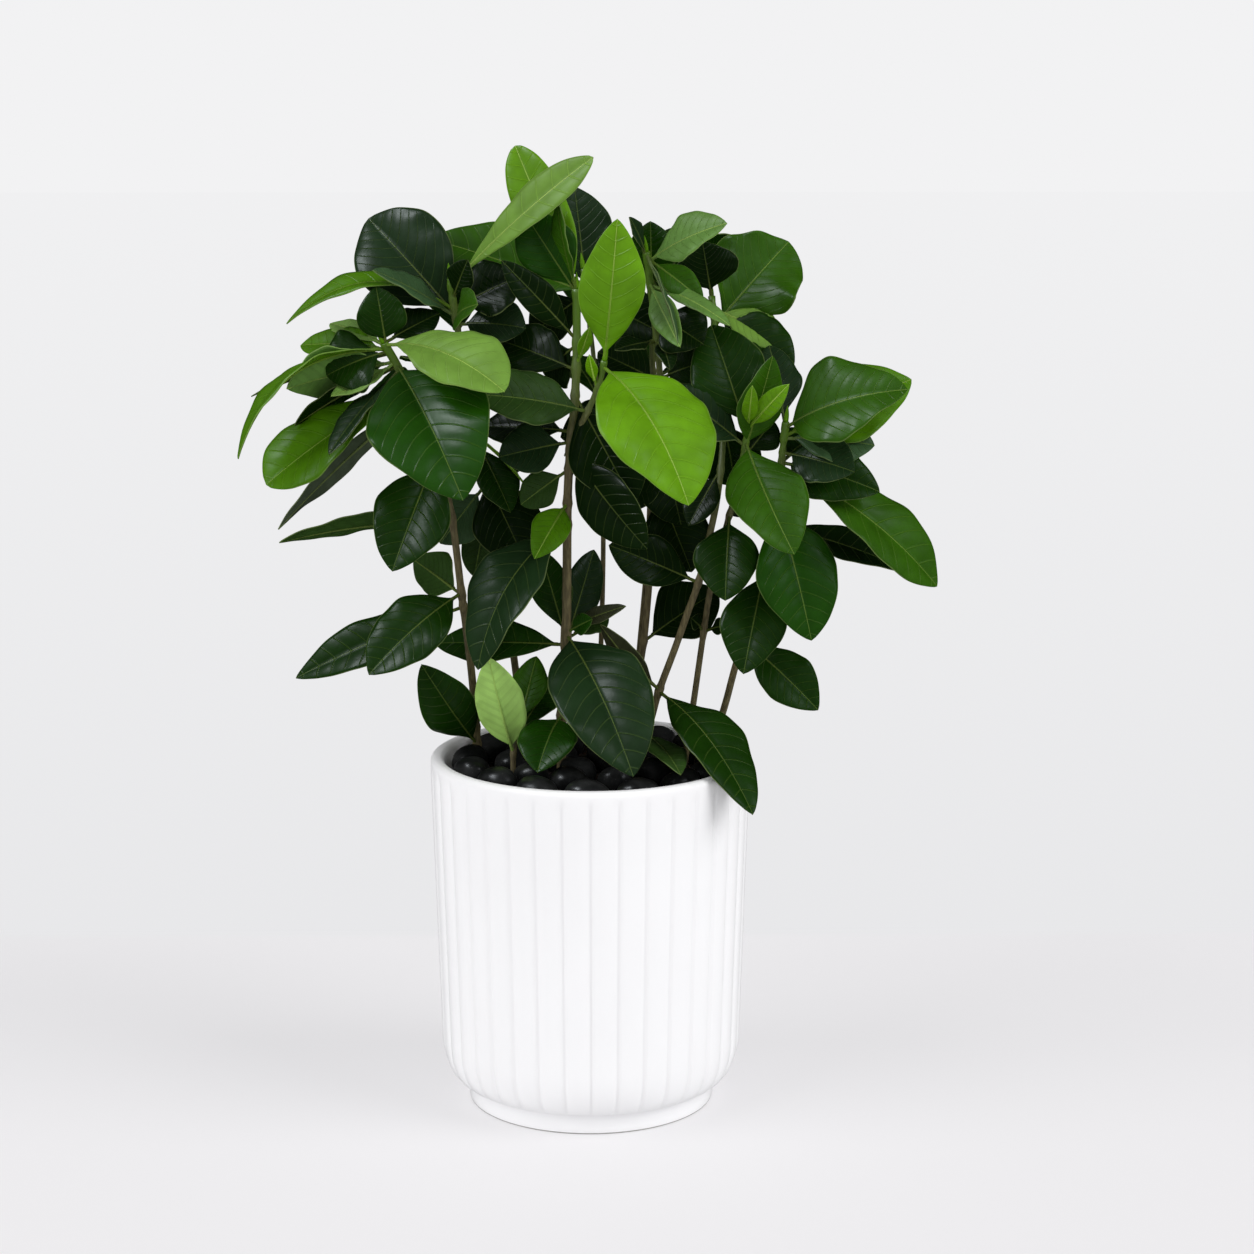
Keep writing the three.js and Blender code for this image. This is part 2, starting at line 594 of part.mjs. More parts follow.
// The place on an axis at a height, found by halving, because every axis climbs all the way.
function pointAtHeight(curve, z) {
  let low = 0;
  let high = 1;
  for (let i = 0; i < halvings; i += 1) {
    const middle = (low + high) / 2;
    if (curve.getPoint(middle).z < z) low = middle;
    else high = middle;
  }
  return curve.getPoint(low);
}

function makeAxis(curve, radius) {
  const outline = new THREE.Shape().absarc(0, 0, radius, 0, 2 * Math.PI);
  return toSolid(new THREE.ExtrudeGeometry(outline, {
    steps: Math.round(curve.getLength() / axisStep),
    extrudePath: curve,
    bevelEnabled: false,
    curveSegments: axisSides / 2,
  }));
}

// The part of a stem that stands in its hole in the soil.
function makeRoot({ radius, points }) {
  const [x, y, z] = points[0];
  return cylinderBelow(x, y, z + rootOverlap, radius, stemSocketDepth - fitGap + rootOverlap, rootSides);
}

function makeLeafyStem(axes) {
  const solids = [makeRoot(axes[0])];
  for (const { radius, points, leaves } of axes) {
    const curve = axisCurve(points);
    solids.push(makeAxis(curve, radius));
    leaves.forEach((leaf, i) => solids.push(makeLeaf(pointAtHeight(curve, leaf.at), leaf, i)));
  }
  return joinAll(solids).simplify(cleanDistance);
}

// The whole plant

const model = new THREE.Group();

function addPart(name, solid, colour, roughness) {
  const material = new THREE.MeshStandardMaterial({ color: colour, roughness, metalness: 0 });
  const mesh = new THREE.Mesh(toGeometry(solid), material);
  mesh.name = name;
  model.add(mesh);
}

const stemFeet = Object.values(leafyStems).map(([{ radius, points: [[x, y]] }]) => ({ x, y, radius }));
const pebbleRandom = randomFrom(pebbleSeed);

addPart('pot', makePot(), colours.glaze, 0.15);
addPart('soil', makeSoil(stemFeet), colours.soil, 0.95);
pebblePlaces(stemFeet).forEach((place, i) => {
  const number = String(i + 1).padStart(2, '0');
  addPart(`pebble_${number}`, makePebble(place, pebbleRandom), colours.pebble, 0.4);
});
for (const [name, axes] of Object.entries(leafyStems)) {
  addPart(name, makeLeafyStem(axes), colours.foliage, 0.35);
}

export default model;
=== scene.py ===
"""A gardenia plant in a ribbed white pot, with dark river pebbles on its soil."""

import logging
import math
import random
from collections.abc import Callable
from dataclasses import dataclass, field
from enum import Enum

import bmesh
import bpy
import numpy as np
from mathutils import Matrix, Vector, noise


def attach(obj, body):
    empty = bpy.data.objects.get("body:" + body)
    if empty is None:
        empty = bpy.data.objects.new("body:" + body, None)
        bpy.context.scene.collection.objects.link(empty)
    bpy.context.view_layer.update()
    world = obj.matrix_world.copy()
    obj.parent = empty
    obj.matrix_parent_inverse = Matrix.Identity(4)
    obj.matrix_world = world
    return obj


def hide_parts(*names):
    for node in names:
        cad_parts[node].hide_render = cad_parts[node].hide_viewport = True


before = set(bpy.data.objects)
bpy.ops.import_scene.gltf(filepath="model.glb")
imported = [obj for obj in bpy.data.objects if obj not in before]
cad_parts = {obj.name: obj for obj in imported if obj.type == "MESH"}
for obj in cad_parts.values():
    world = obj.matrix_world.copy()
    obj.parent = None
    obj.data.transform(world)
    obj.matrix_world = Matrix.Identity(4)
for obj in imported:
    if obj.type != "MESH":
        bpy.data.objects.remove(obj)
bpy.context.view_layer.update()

LOG = logging.getLogger("gardenia")
MM = 0.001
SEAM = 1e-6
RGBA = tuple[float, float, float, float]
Point = tuple[float, float, float]
Pair = tuple[float, float]
Mesh = bmesh.types.BMesh
Material = bpy.types.Material
Array = np.ndarray


def linear(value: int) -> float:
    """Turns a display value from 0 to 255 into the linear share that shaders use."""
    share = value / 255
    return share / 12.92 if share <= 0.04045 else ((share + 0.055) / 1.055) ** 2.4


def colour(red: int, green: int, blue: int) -> RGBA:
    """Makes a shader's colour from display values."""
    return (linear(red), linear(green), linear(blue), 1.0)


def blend(first: RGBA, second: RGBA, share: float) -> RGBA:
    """Mixes two colours by a share."""
    return tuple(a + (b - a) * share for a, b in zip(first, second))


# Shader tools


def arithmetic(operation: str, swapped: bool = False) -> Callable[["Signal", object], "Signal"]:
    """Makes a method for one of the operators of Signal.

    Args:
        operation: The Math node's operation.
        swapped: Whether the signal stands on the right.

    Returns:
        The method.
    """

    def method(self: "Signal", other: object) -> "Signal":
        """Adds a Math node that works on the signal and another value."""
        values = {0: other, 1: self} if swapped else {0: self, 1: other}
        return self.shader.node("ShaderNodeMath", {"operation": operation}, values)

    return method


class Signal:
    """A shader socket that takes part in Python arithmetic."""

    def __init__(self, shader: "Shader", socket: bpy.types.NodeSocket) -> None:
        """Keeps the socket and the shader that it belongs to."""
        self.shader = shader
        self.socket = socket

    __add__ = arithmetic("ADD")
    __radd__ = arithmetic("ADD", swapped=True)
    __sub__ = arithmetic("SUBTRACT")
    __rsub__ = arithmetic("SUBTRACT", swapped=True)
    __mul__ = arithmetic("MULTIPLY")
    __rmul__ = arithmetic("MULTIPLY", swapped=True)
    __truediv__ = arithmetic("DIVIDE")
    __rtruediv__ = arithmetic("DIVIDE", swapped=True)

    def away_from_whole(self) -> "Signal":
        """How far the value lies from the nearest whole number, from 0 to 0.5."""
        return self.shader.node("ShaderNodeMath", {"operation": "PINGPONG"}, {0: self, 1: 0.5})

    def size(self) -> "Signal":
        """The value without its sign."""
        return self.shader.node("ShaderNodeMath", {"operation": "ABSOLUTE"}, {0: self})

    def ramp(self, low: float, high: float, start: float = 0.0, end: float = 1.0) -> "Signal":
        """Changes smoothly from start to end as the value goes from low to high."""
        inputs = {"Value": self, "From Min": low, "From Max": high, "To Min": start, "To Max": end}
        return self.shader.node("ShaderNodeMapRange", {"interpolation_type": "SMOOTHSTEP"}, inputs)


class Shader:
    """A material's node tree, built one call at a time."""

    def __init__(self, name: str, world: bool = False) -> None:
        """Makes a material, or the world's own shader.

        Args:
            name: Its name.
            world: Whether it is the world's.
        """
        self.material = (bpy.data.worlds if world else bpy.data.materials).new(name)
        self.material.use_nodes = True
        self.tree = self.material.node_tree
        self.principled = self.tree.nodes["Background" if world else "Principled BSDF"]
        self.output = self.tree.nodes["World Output" if world else "Material Output"]

    def node(self, kind: str, settings: dict, inputs: dict, output: int | str = 0) -> Signal:
        """Adds one node.

        Args:
            kind: The node's type name.
            settings: Properties that are set before the inputs.
            inputs: Values or signals for its sockets, by name or number.
            output: Name or number of the socket to give back.

        Returns:
            The chosen output as a signal.
        """
        made = self.tree.nodes.new(kind)
        for key, value in settings.items():
            setattr(made, key, value)
        for key, value in inputs.items():
            self._feed(made.inputs[key], value)
        return Signal(self, made.outputs[output])

    def _feed(self, socket: bpy.types.NodeSocket, value: object) -> None:
        """Gives a socket its value.

        Args:
            socket: The input socket.
            value: A signal, which is linked, or a plain value, which is set.
        """
        if isinstance(value, Signal):
            self.tree.links.new(value.socket, socket)
        else:
            socket.default_value = value

    def surface(self, **inputs: object) -> None:
        """Feeds the principled shader. An underscore in a name stands for a space."""
        for key, value in inputs.items():
            self._feed(self.principled.inputs[key.replace("_", " ")], value)

    def mix(self, share: object, first: object, second: object) -> Signal:
        """Mixes two colours by a share."""
        return self.node("ShaderNodeMix", {"data_type": "RGBA"}, {0: share, 6: first, 7: second}, 2)

    def attribute(self, name: str, output: str = "Color") -> Signal:
        """Reads one of the mesh's own attributes."""
        return self.node("ShaderNodeAttribute", {"attribute_name": name}, {}, output)

    def parts(self, vector: Signal) -> tuple[Signal, ...]:
        """Splits a vector or a colour into its three numbers."""
        split = self.node("ShaderNodeSeparateXYZ", {}, {0: vector}).socket.node
        return tuple(Signal(self, output) for output in split.outputs)

    def place(self) -> Signal:
        """Place on the object, in metres."""
        return self.node("ShaderNodeTexCoord", {}, {}, "Object")

    def noise(self, scale: float, detail: float, where: Signal | None = None) -> Signal:
        """Soft noise of so many grains a metre, about 0.5 on average, at a place on the object."""
        inputs = {"Vector": where or self.place(), "Scale": scale, "Detail": detail}
        return self.node("ShaderNodeTexNoise", {}, inputs)

    def bump(self, height: Signal, depth: float, strength: float) -> Signal:
        """Normal of a surface raised by a height of 0 to 1 times a depth in metres."""
        inputs = {"Strength": strength, "Distance": depth, "Height": height}
        return self.node("ShaderNodeBump", {}, inputs)


# Finishes


@dataclass(frozen=True)
class GlazeFinish:
    """White satin glaze, clouded a little, with the very edge of the foot grey: partly bare clay, partly
    painted contact shadow.
    """

    body: RGBA = colour(244, 244, 245)
    thin: RGBA = colour(241, 241, 242)
    # grey of the foot's bottom edge: partly bare clay, partly painted contact shadow
    bare_foot_and_contact_shade: RGBA = colour(150, 148, 144)
    roughness: Pair = (0.3, 0.38)
    mirrored: float = 0.1
    cloud_scale: float = 14.0
    bare_and_shaded_edge: Pair = (0.9 * MM, 0.54 * MM)

    def material(self) -> Material:
        """Makes the material.

        Returns:
            The glaze.
        """
        shader = Shader("white_glaze")
        _, _, height = shader.parts(shader.place())
        cloud = shader.noise(self.cloud_scale, 1.0).ramp(0.2, 0.8)
        white = shader.mix(cloud, self.body, self.thin)
        shader.surface(
            # the foot's bottom edge turns grey: partly bare clay, partly painted contact shadow
            Base_Color=shader.mix(height.ramp(*self.bare_and_shaded_edge), white, self.bare_foot_and_contact_shade),
            Roughness=cloud.ramp(0.0, 1.0, *self.roughness),
            Specular_IOR_Level=self.mirrored,
        )
        return shader.material


@dataclass(frozen=True)
class PebbleFinish:
    """Near-black river stone, worn smooth, with faint paler grains."""

    dark: RGBA = colour(15, 16, 16)
    light: RGBA = colour(38, 39, 39)
    grain: RGBA = colour(92, 93, 92)
    grain_share: float = 0.5
    roughness: Pair = (0.31, 0.5)
    mirrored: float = 0.16
    cloud_scale: float = 90.0
    grain_scale: float = 1500.0
    pit_scale: float = 700.0
    pit_depth: float = 0.15 * MM

    def material(self) -> Material:
        """Makes the material.

        Returns:
            The stone.
        """
        shader = Shader("river_pebble")
        cloud = shader.noise(self.cloud_scale, 5.0).ramp(0.35, 0.75)
        grains = shader.noise(self.grain_scale, 2.0).ramp(0.66, 0.78)
        stone = shader.mix(cloud, self.dark, self.light)
        shader.surface(
            Base_Color=shader.mix(grains * self.grain_share, stone, self.grain),
            Roughness=cloud.ramp(0.0, 1.0, *self.roughness),
            Normal=shader.bump(shader.noise(self.pit_scale, 4.0), self.pit_depth, 0.5),
            Specular_IOR_Level=self.mirrored,
        )
        return shader.material


@dataclass(frozen=True)
class SoilFinish:
    """Dark crumbled potting soil."""

    dark: RGBA = colour(22, 16, 12)
    light: RGBA = colour(66, 48, 34)
    roughness: Pair = (0.85, 1.0)
    crumb_scale: float = 420.0
    crumb_depth: float = 1.5 * MM

    def material(self) -> Material:
        """Makes the material.

        Returns:
            The soil.
        """
        shader = Shader("potting_soil")
        crumbs = shader.noise(self.crumb_scale, 8.0)
        shader.surface(
            Base_Color=shader.mix(crumbs.ramp(0.4, 0.7), self.dark, self.light),
            Roughness=crumbs.ramp(0.0, 1.0, *self.roughness),
            Normal=shader.bump(crumbs, self.crumb_depth, 1.0),
        )
        return shader.material


@dataclass(frozen=True)
class BarkFinish:
    """Grey-brown bark that turns green towards the young end of a stem.

    It reads the attribute `age`, from 0 at the soil to 1 at the tip.
    """

    old: RGBA = colour(108, 99, 66)
    furrow: RGBA = colour(84, 76, 49)
    young: RGBA = colour(78, 112, 24)
    roughness: Pair = (0.75, 0.42)
    fibre_scale: float = 900.0
    fibre_stretch: Point = (1.0, 1.0, 0.22)
    fibre_depth: float = 0.25 * MM

    def material(self) -> Material:
        """Makes the material.

        Returns:
            The bark.
        """
        shader = Shader("gardenia_bark")
        age = shader.attribute("age", "Fac")
        inputs = {"Vector": shader.place(), "Scale": self.fibre_stretch}
        stretched = shader.node("ShaderNodeMapping", {}, inputs)
        fibres = shader.noise(self.fibre_scale, 4.0, stretched)
        wood = shader.mix(fibres.ramp(0.35, 0.65), self.furrow, self.old)
        shader.surface(
            Base_Color=shader.mix(age.ramp(0.55, 1.0), wood, self.young),
            Roughness=age.ramp(0.4, 1.0, *self.roughness),
            Normal=shader.bump(fibres, self.fibre_depth, 0.7),
        )
        return shader.material


class Tone(Enum):
    """How a leaf looks: its colour, and its gloss from 0 to 1."""

    DEEP = (colour(13, 34, 4), 0.9)
    DARK = (colour(22, 53, 4), 0.95)
    SLATE = (colour(28, 50, 24), 1.0)
    GLOSSY = (colour(28, 70, 4), 0.95)
    MOSS = (colour(48, 90, 7), 0.85)
    OLIVE = (colour(46, 74, 26), 0.4)
    UMBER = (colour(52, 56, 36), 0.4)
    SILVER = (colour(58, 86, 52), 0.9)
    FRESH = (colour(74, 122, 5), 0.85)
    YOUNG = (colour(98, 150, 12), 0.85)
    LIME = (colour(112, 152, 58), 0.4)
    SAGE = (colour(98, 138, 62), 0.4)
    PALE = (colour(122, 162, 76), 0.3)
    ASH = (colour(72, 84, 64), 0.45)
    MINT = (colour(160, 202, 104), 0.3)


@dataclass(frozen=True)
class VeinPattern:
    """Where the side veins run: they leave the midrib steeply and bend towards the tip."""

    pairs: float = 9.5
    slant: float = 0.5
    bend: float = 1.7

    def count(self, along: Signal | Array, spread: Signal | Array) -> Signal | Array:
        """Counts the veins up to a place, so that it is a whole number on each vein."""
        return (along - spread * self.slant - spread * spread * self.bend) * self.pairs


@dataclass(frozen=True)
class LeafFinish:
    """One side of a waxy leaf, with a pale midrib and side veins, painted shade in the furrows along the
    veins and a painted highlight along its edge.

    It reads the attributes `blade` (place across from -1 to 1, place along from 0 to 1, and distance
    from the midrib as a share of the length), `reach` (millimetres from the midrib), `tone` and `gloss`.
    """

    name: str
    crease_shade: float  # how far the furrows along the veins are darkened, as painted shade
    vein_share: Pair  # paleness of the veins: its growth with the leaf's brightness, and its least
    relief: tuple[float, float, float, float]  # heights of patches, furrows, veins and midrib
    roughness: Pair  # without gloss, and what full gloss takes off it
    veins: VeinPattern = VeinPattern()
    veins_end: float = 0.7
    vein_width: float = 0.07
    furrow_width: float = 0.3
    midrib: RGBA = colour(186, 216, 104)
    midrib_half: float = 0.42
    midrib_taper: Pair = (1.2, 0.8)
    midrib_edge: Pair = (0.6, 1.3)
    midrib_cover: float = 0.9
    midrib_share: Pair = (1.6, 0.07)
    paler_share: float = 0.05
    # painted highlight along the leaf's edge: its colour, where it starts across the blade and how strong it
    # is
    edge_highlight: RGBA = colour(176, 196, 120)
    edge_highlight_start: float = 0.97
    edge_highlight_share: float = 0.22
    shade: RGBA = (0.0, 0.0, 0.0, 1.0)
    shade_share: float = 0.4
    cloud_scale: float = 48.0
    cloud_share: float = 0.5
    cloud_gloss: float = 0.02
    patch_scale: float = 160.0
    patch_share: float = 0.2
    depth: float = 0.5 * MM
    mirrored: float = 0.15

    def material(self) -> Material:
        """Makes the material.

        Returns:
            This side of the leaf.
        """
        shader = Shader(self.name)
        across, along, spread = shader.parts(shader.attribute("blade", "Vector"))
        reach = shader.attribute("reach", "Fac").size()
        tone = shader.attribute("tone")
        side = across.size()
        from_vein = self.veins.count(along, spread.size()).away_from_whole()
        faded = side.ramp(self.veins_end, 1.0, 1.0, 0.0)
        vein = from_vein.ramp(0.0, self.vein_width, 1.0, 0.0) * faded
        furrow = from_vein.ramp(0.0, self.furrow_width, 1.0, 0.0) * faded
        thickest, thinner = self.midrib_taper
        half = self.midrib_half * (thickest - thinner * along)
        rib = (reach / half).ramp(*self.midrib_edge, 1.0, 0.0)
        cloud = shader.noise(self.cloud_scale, 3.0).ramp(0.3, 0.7)
        patches = shader.noise(self.patch_scale, 2.0).ramp(0.35, 0.65)
        _, brightness, _ = shader.parts(tone)
        darker = shader.mix(self.shade_share, tone, self.shade)
        paler = shader.mix(self.paler_share, tone, self.midrib)
        pale_rib = shader.mix(brightness * self.midrib_share[0] + self.midrib_share[1], tone, self.midrib)
        body = shader.mix(cloud * self.cloud_share + patches * self.patch_share, tone, darker)
        # painted shade: the furrows along the veins are darkened
        body = shader.mix(furrow * self.crease_shade, body, darker)
        body = shader.mix(vein * (brightness * self.vein_share[0] + self.vein_share[1]), body, paler)
        # painted highlight: the blade turns paler at its very edge
        body = shader.mix(side.ramp(self.edge_highlight_start, 1.0) * self.edge_highlight_share, body, self.edge_highlight)
        patch_rise, furrow_rise, vein_rise, rib_rise = self.relief
        height = patches * patch_rise + furrow * furrow_rise + vein * vein_rise + rib * rib_rise
        dull, gloss_share = self.roughness
        shader.surface(
            Base_Color=shader.mix(rib * self.midrib_cover, body, pale_rib),
            Roughness=dull - shader.attribute("gloss", "Fac") * gloss_share - cloud * self.cloud_gloss,
            Normal=shader.bump(height, self.depth, 0.8),
            Specular_IOR_Level=self.mirrored,
        )
        return shader.material


# Mesh tools


def finish_piece(name: str, mesh: Mesh, materials: list[Material],
                 replaced: str | None) -> None:
    """Turns a bmesh into a smooth-shaded object that rides with the plant.

    Args:
        name: The piece's name.
        mesh: Its shape in metres, in the plant's frame. It is freed here.
        materials: Its materials, in the order of its faces' indices.
        replaced: The CAD node that it stands for, or None.
    """
    data = bpy.data.meshes.new(name)
    mesh.to_mesh(data)
    mesh.free()
    data.shade_smooth()
    for material in materials:
        data.materials.append(material)
    piece = bpy.data.objects.new(name, data)
    bpy.context.scene.collection.objects.link(piece)
    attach(piece, "root")
    if replaced:
        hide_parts(replaced)
    LOG.info("%s has %d faces", name, len(data.polygons))


def rolled_tube(mesh: Mesh, path: list[Vector], radii: list[float], sides: int) -> list:
    """Adds a round tube along a path, made from a grid that is rolled up; sew joins its seam and closes its
    ends.

    Args:
        mesh: The bmesh that it is added to.
        path: Points up the middle.
        radii: The radius at each point.
        sides: Faces round the tube.

    Returns:
        The tube's vertices, ring by ring, before the seam is sewn, as (vertex, ring) pairs.
    """
    rings = len(path)
    made = bmesh.ops.create_grid(mesh, x_segments=sides, y_segments=rings - 1, size=0.5)["verts"]
    columns = sides + 1
    guide = (path[1] - path[0]).normalized().orthogonal().normalized()
    placed = []
    for ring in range(rings):
        before = path[max(ring - 1, 0)]
        after = path[min(ring + 1, rings - 1)]
        tangent = (after - before).normalized()
        guide = (guide - tangent * guide.dot(tangent)).normalized()
        other = tangent.cross(guide)
        for column in range(columns):
            angle = 2 * math.pi * column / sides
            vertex = made[ring * columns + column]
            vertex.co = path[ring] + (guide * math.cos(angle) + other * math.sin(angle)) * radii[ring]
            placed.append((vertex, ring))
    return placed


def sew(mesh: Mesh, vertices: list) -> None:
    """Sews a rolled grid's seam and closes its open ends."""
    bmesh.ops.remove_doubles(mesh, verts=vertices, dist=SEAM)
    bmesh.ops.holes_fill(mesh, edges=[edge for edge in mesh.edges if edge.is_boundary], sides=0)


# Pot, soil and pebbles


@dataclass
class Pot:
    """The ribbed pot. Sizes are in millimetres."""

    height: float = 173.0
    radius: float = 77.5
    radius_above_curve: float = 73.4
    foot_radius: float = 60.0
    foot_height: float = 11.0
    foot_stations: tuple[Pair, ...] = (
        (-1, 0), (-0.3, 0.35), (0, 1.2), (0, 4), (0, 7), (0, 10), (0.4, 10.8),
    )  # out from the foot's radius, and up
    underside_ring: float = 30.0
    curve_top: float = 34.0
    curve_start_radius: float = 62.5
    curve_shares: tuple[float, ...] = (
        0.004, 0.02, 0.05, 0.09, 0.14, 0.2, 0.28, 0.37, 0.47, 0.58, 0.7, 0.83, 0.95,
    )
    wall_stations: tuple[float, ...] = (36, 60, 85, 110, 135, 150, 158, 161, 163, 165, 167, 169)
    wall: float = 6.5
    floor: float = 9.0
    lip: float = 2.6
    lip_steps: int = 6
    mouth_stations: tuple[Pair, ...] = ((2.3, 0), (1.1, 0.5), (0.3, 1.6), (0, 3.4))  # out, and down
    inner_stations: tuple[Pair, ...] = ((1.5, 90), (0, 34), (-1.5, 26))  # out, and the height
    ribs: int = 36
    rib_depth: float = 1.3
    rib_start: float = 2.5
    rib_fade: float = 7.0
    steps_per_rib: int = 12
    finish: GlazeFinish = GlazeFinish()

    def skin_radius(self, z: float) -> float:
        """Works out the radius over the ribs at a height between the foot and the lip.

        Args:
            z: The height.

        Returns:
            The radius.
        """
        if z < self.curve_top:
            share = (z - self.foot_height) / (self.curve_top - self.foot_height)
            bulge = math.sqrt(max(0.0, 1 - (1 - share) ** 2))
            return self.curve_start_radius + (self.radius_above_curve - self.curve_start_radius) * bulge
        share = (z - self.curve_top) / (self.height - self.lip - self.rib_fade - self.curve_top)
        return self.radius_above_curve + (self.radius - self.radius_above_curve) * min(share, 1)

    def outer_profile(self) -> list[Pair]:
        """Draws the outside from the middle of the underside up to the lip's top.

        Returns:
            The profile's points, as radius and height.
        """
        foot = [(0, 0), (self.underside_ring, 0)]
        foot += [(self.foot_radius + out, z) for out, z in self.foot_stations]
        rise = self.curve_top - self.foot_height
        top = self.height - self.lip
        heights = [self.foot_height + share * rise for share in self.curve_shares]
        skin = [(self.skin_radius(z), z) for z in (*heights, *self.wall_stations, top)]
        turns = [math.pi / 2 * step / self.lip_steps for step in range(1, self.lip_steps + 1)]
        lip = [(self.radius - self.lip * (1 - math.cos(t)), top + self.lip * math.sin(t)) for t in turns]
        return foot + skin + lip

    def inner_profile(self) -> list[Pair]:
        """Draws the inside from the lip's top down to the middle of the floor.

        Returns:
            The profile's points, as radius and height.
        """
        inside = self.radius - self.wall
        low = self.radius_above_curve - self.wall
        mouth = [(inside + out, self.height - down) for out, down in self.mouth_stations]
        wall = [(inside - 0.5, 150)] + [(low + out, z) for out, z in self.inner_stations]
        return mouth + wall + [(self.foot_radius - self.wall, self.floor), (0, self.floor)]

    def rib_share(self, radius: float, z: float) -> float:
        """Works out how deep the grooves are at a place on the skin.

        Args:
            radius: The place's distance from the pot's axis.
            z: Its height.

        Returns:
            A share of the full depth, 0 on the foot, the lip and the inside.
        """
        if z < self.foot_height or radius < self.skin_radius(z) - self.wall / 2:
            return 0.0
        start = min(1.0, max(0.0, (z - self.foot_height) / self.rib_start))
        end = min(1.0, max(0.0, (self.height - self.lip - z) / self.rib_fade))
        return math.sin(start * math.pi / 2) * (end * end * (3 - 2 * end))

    def build(self) -> None:
        """Spins the profile, then sinks the grooves between the ribs."""
        mesh = bmesh.new()
        profile = self.outer_profile() + self.inner_profile()
        line = [mesh.verts.new((r * MM, 0, z * MM)) for r, z in profile]
        edges = [mesh.edges.new(pair) for pair in zip(line, line[1:])]
        steps = self.ribs * self.steps_per_rib
        bmesh.ops.spin(mesh, geom=line + edges, cent=(0, 0, 0), axis=(0, 0, 1), angle=2 * math.pi,
                       steps=steps, use_merge=True)
        bmesh.ops.remove_doubles(mesh, verts=mesh.verts[:], dist=SEAM)
        for vertex in mesh.verts:
            radius = vertex.co.xy.length / MM
            share = self.rib_share(radius, vertex.co.z / MM)
            if share > 0:
                turn = math.atan2(vertex.co.y, vertex.co.x) / (2 * math.pi) * self.ribs
                crown = math.sqrt(abs(math.sin(math.pi * turn)))
                vertex.co.xy *= 1 - self.rib_depth * share * (1 - crown) / radius
        bmesh.ops.recalc_face_normals(mesh, faces=mesh.faces[:])
        finish_piece("pot_body", mesh, [self.finish.material()], "pot")


@dataclass
class PebbleBed:
    """The river pebbles, each a worn stone where the plain one lies, and crumbs of soil between them."""

    soil_top: float = 160.0
    crumb_count: int = 420
    crumb_reach: float = 68.0
    crumb_sizes: Pair = (0.8, 2.2)
    crumb_rise: float = 0.3
    crumb_squeeze: tuple[Pair, Pair, Pair] = ((0.7, 1.2), (0.7, 1.2), (0.5, 0.9))
    lumpiness: float = 0.09
    lump_scale: float = 2.2
    lump_room: float = 0.02
    flatness: float = 0.1
    roll: float = 14.0
    turn: float = 12.0
    seed: int = 5
    stone: PebbleFinish = PebbleFinish()
    soil: SoilFinish = SoilFinish()

    def build(self) -> None:
        """Builds every pebble and the crumbs, and dresses the soil."""
        material = self.stone.material()
        chance = random.Random(self.seed)
        for name in sorted(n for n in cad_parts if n.startswith("pebble")):
            self.build_pebble(name, material, chance)
        earth = self.soil.material()
        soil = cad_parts["soil"]
        soil.data.materials.clear()
        soil.data.materials.append(earth)
        self.build_crumbs(earth, chance)

    def build_pebble(self, name: str, material: Material, chance: random.Random) -> None:
        """Builds one pebble to the length, width and height of the node that it replaces.

        Args:
            name: The node's name.
            material: The stone's material.
            chance: Source of the random draws.
        """
        corners = np.array([vertex.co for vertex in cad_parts[name].data.vertices])
        middle = (corners.max(0) + corners.min(0)) / 2
        angle = math.atan2(middle[1], middle[0])
        turned = corners @ np.array(Matrix.Rotation(angle, 3, "Z"))
        sizes = [float(size) for size in np.ptp(turned, axis=0)]
        mesh = bmesh.new()
        bmesh.ops.create_icosphere(mesh, subdivisions=4, radius=0.5)
        shift = Vector((chance.random() * 50, chance.random() * 50, 0))
        for vertex in mesh.verts:
            lump = 1 + self.lumpiness * noise.noise(vertex.co * self.lump_scale + shift) - self.lump_room
            flat = abs(vertex.co.z * 2) ** 3
            vertex.co *= lump
            vertex.co.z *= 1 - self.flatness * flat
        bmesh.ops.scale(mesh, vec=sizes, verts=mesh.verts[:])
        tilt = Matrix.Rotation(math.radians(chance.uniform(-self.roll, self.roll)), 3, "Y")
        tilt @= Matrix.Rotation(math.radians(chance.uniform(-self.turn, self.turn)), 3, "X")
        turn = Matrix.Rotation(angle + math.radians(chance.uniform(-self.turn, self.turn)), 3, "Z")
        bmesh.ops.rotate(mesh, matrix=turn @ tilt, verts=mesh.verts[:])
        bmesh.ops.translate(mesh, vec=middle, verts=mesh.verts[:])
        finish_piece(name.replace("pebble", "stone"), mesh, [material], name)

    def build_crumbs(self, material: Material, chance: random.Random) -> None:
        """Scatters small crumbs of soil over the soil's top.

        Args:
            material: The soil's material.
            chance: Source of the random draws.
        """
        mesh = bmesh.new()
        for _ in range(self.crumb_count):
            reach = self.crumb_reach * math.sqrt(chance.random()) * MM
            turn = chance.random() * 2 * math.pi
            size = chance.uniform(*self.crumb_sizes) * MM
            height = self.soil_top * MM + size * self.crumb_rise
            grain = bmesh.ops.create_icosphere(mesh, subdivisions=1, radius=size)["verts"]
            squeeze = [chance.uniform(*span) for span in self.crumb_squeeze]
            bmesh.ops.scale(mesh, vec=squeeze, verts=grain)
            place = (reach * math.cos(turn), reach * math.sin(turn), height)
            bmesh.ops.translate(mesh, vec=place, verts=grain)
        finish_piece("soil_crumbs", mesh, [material], None)


# Leaves and stems


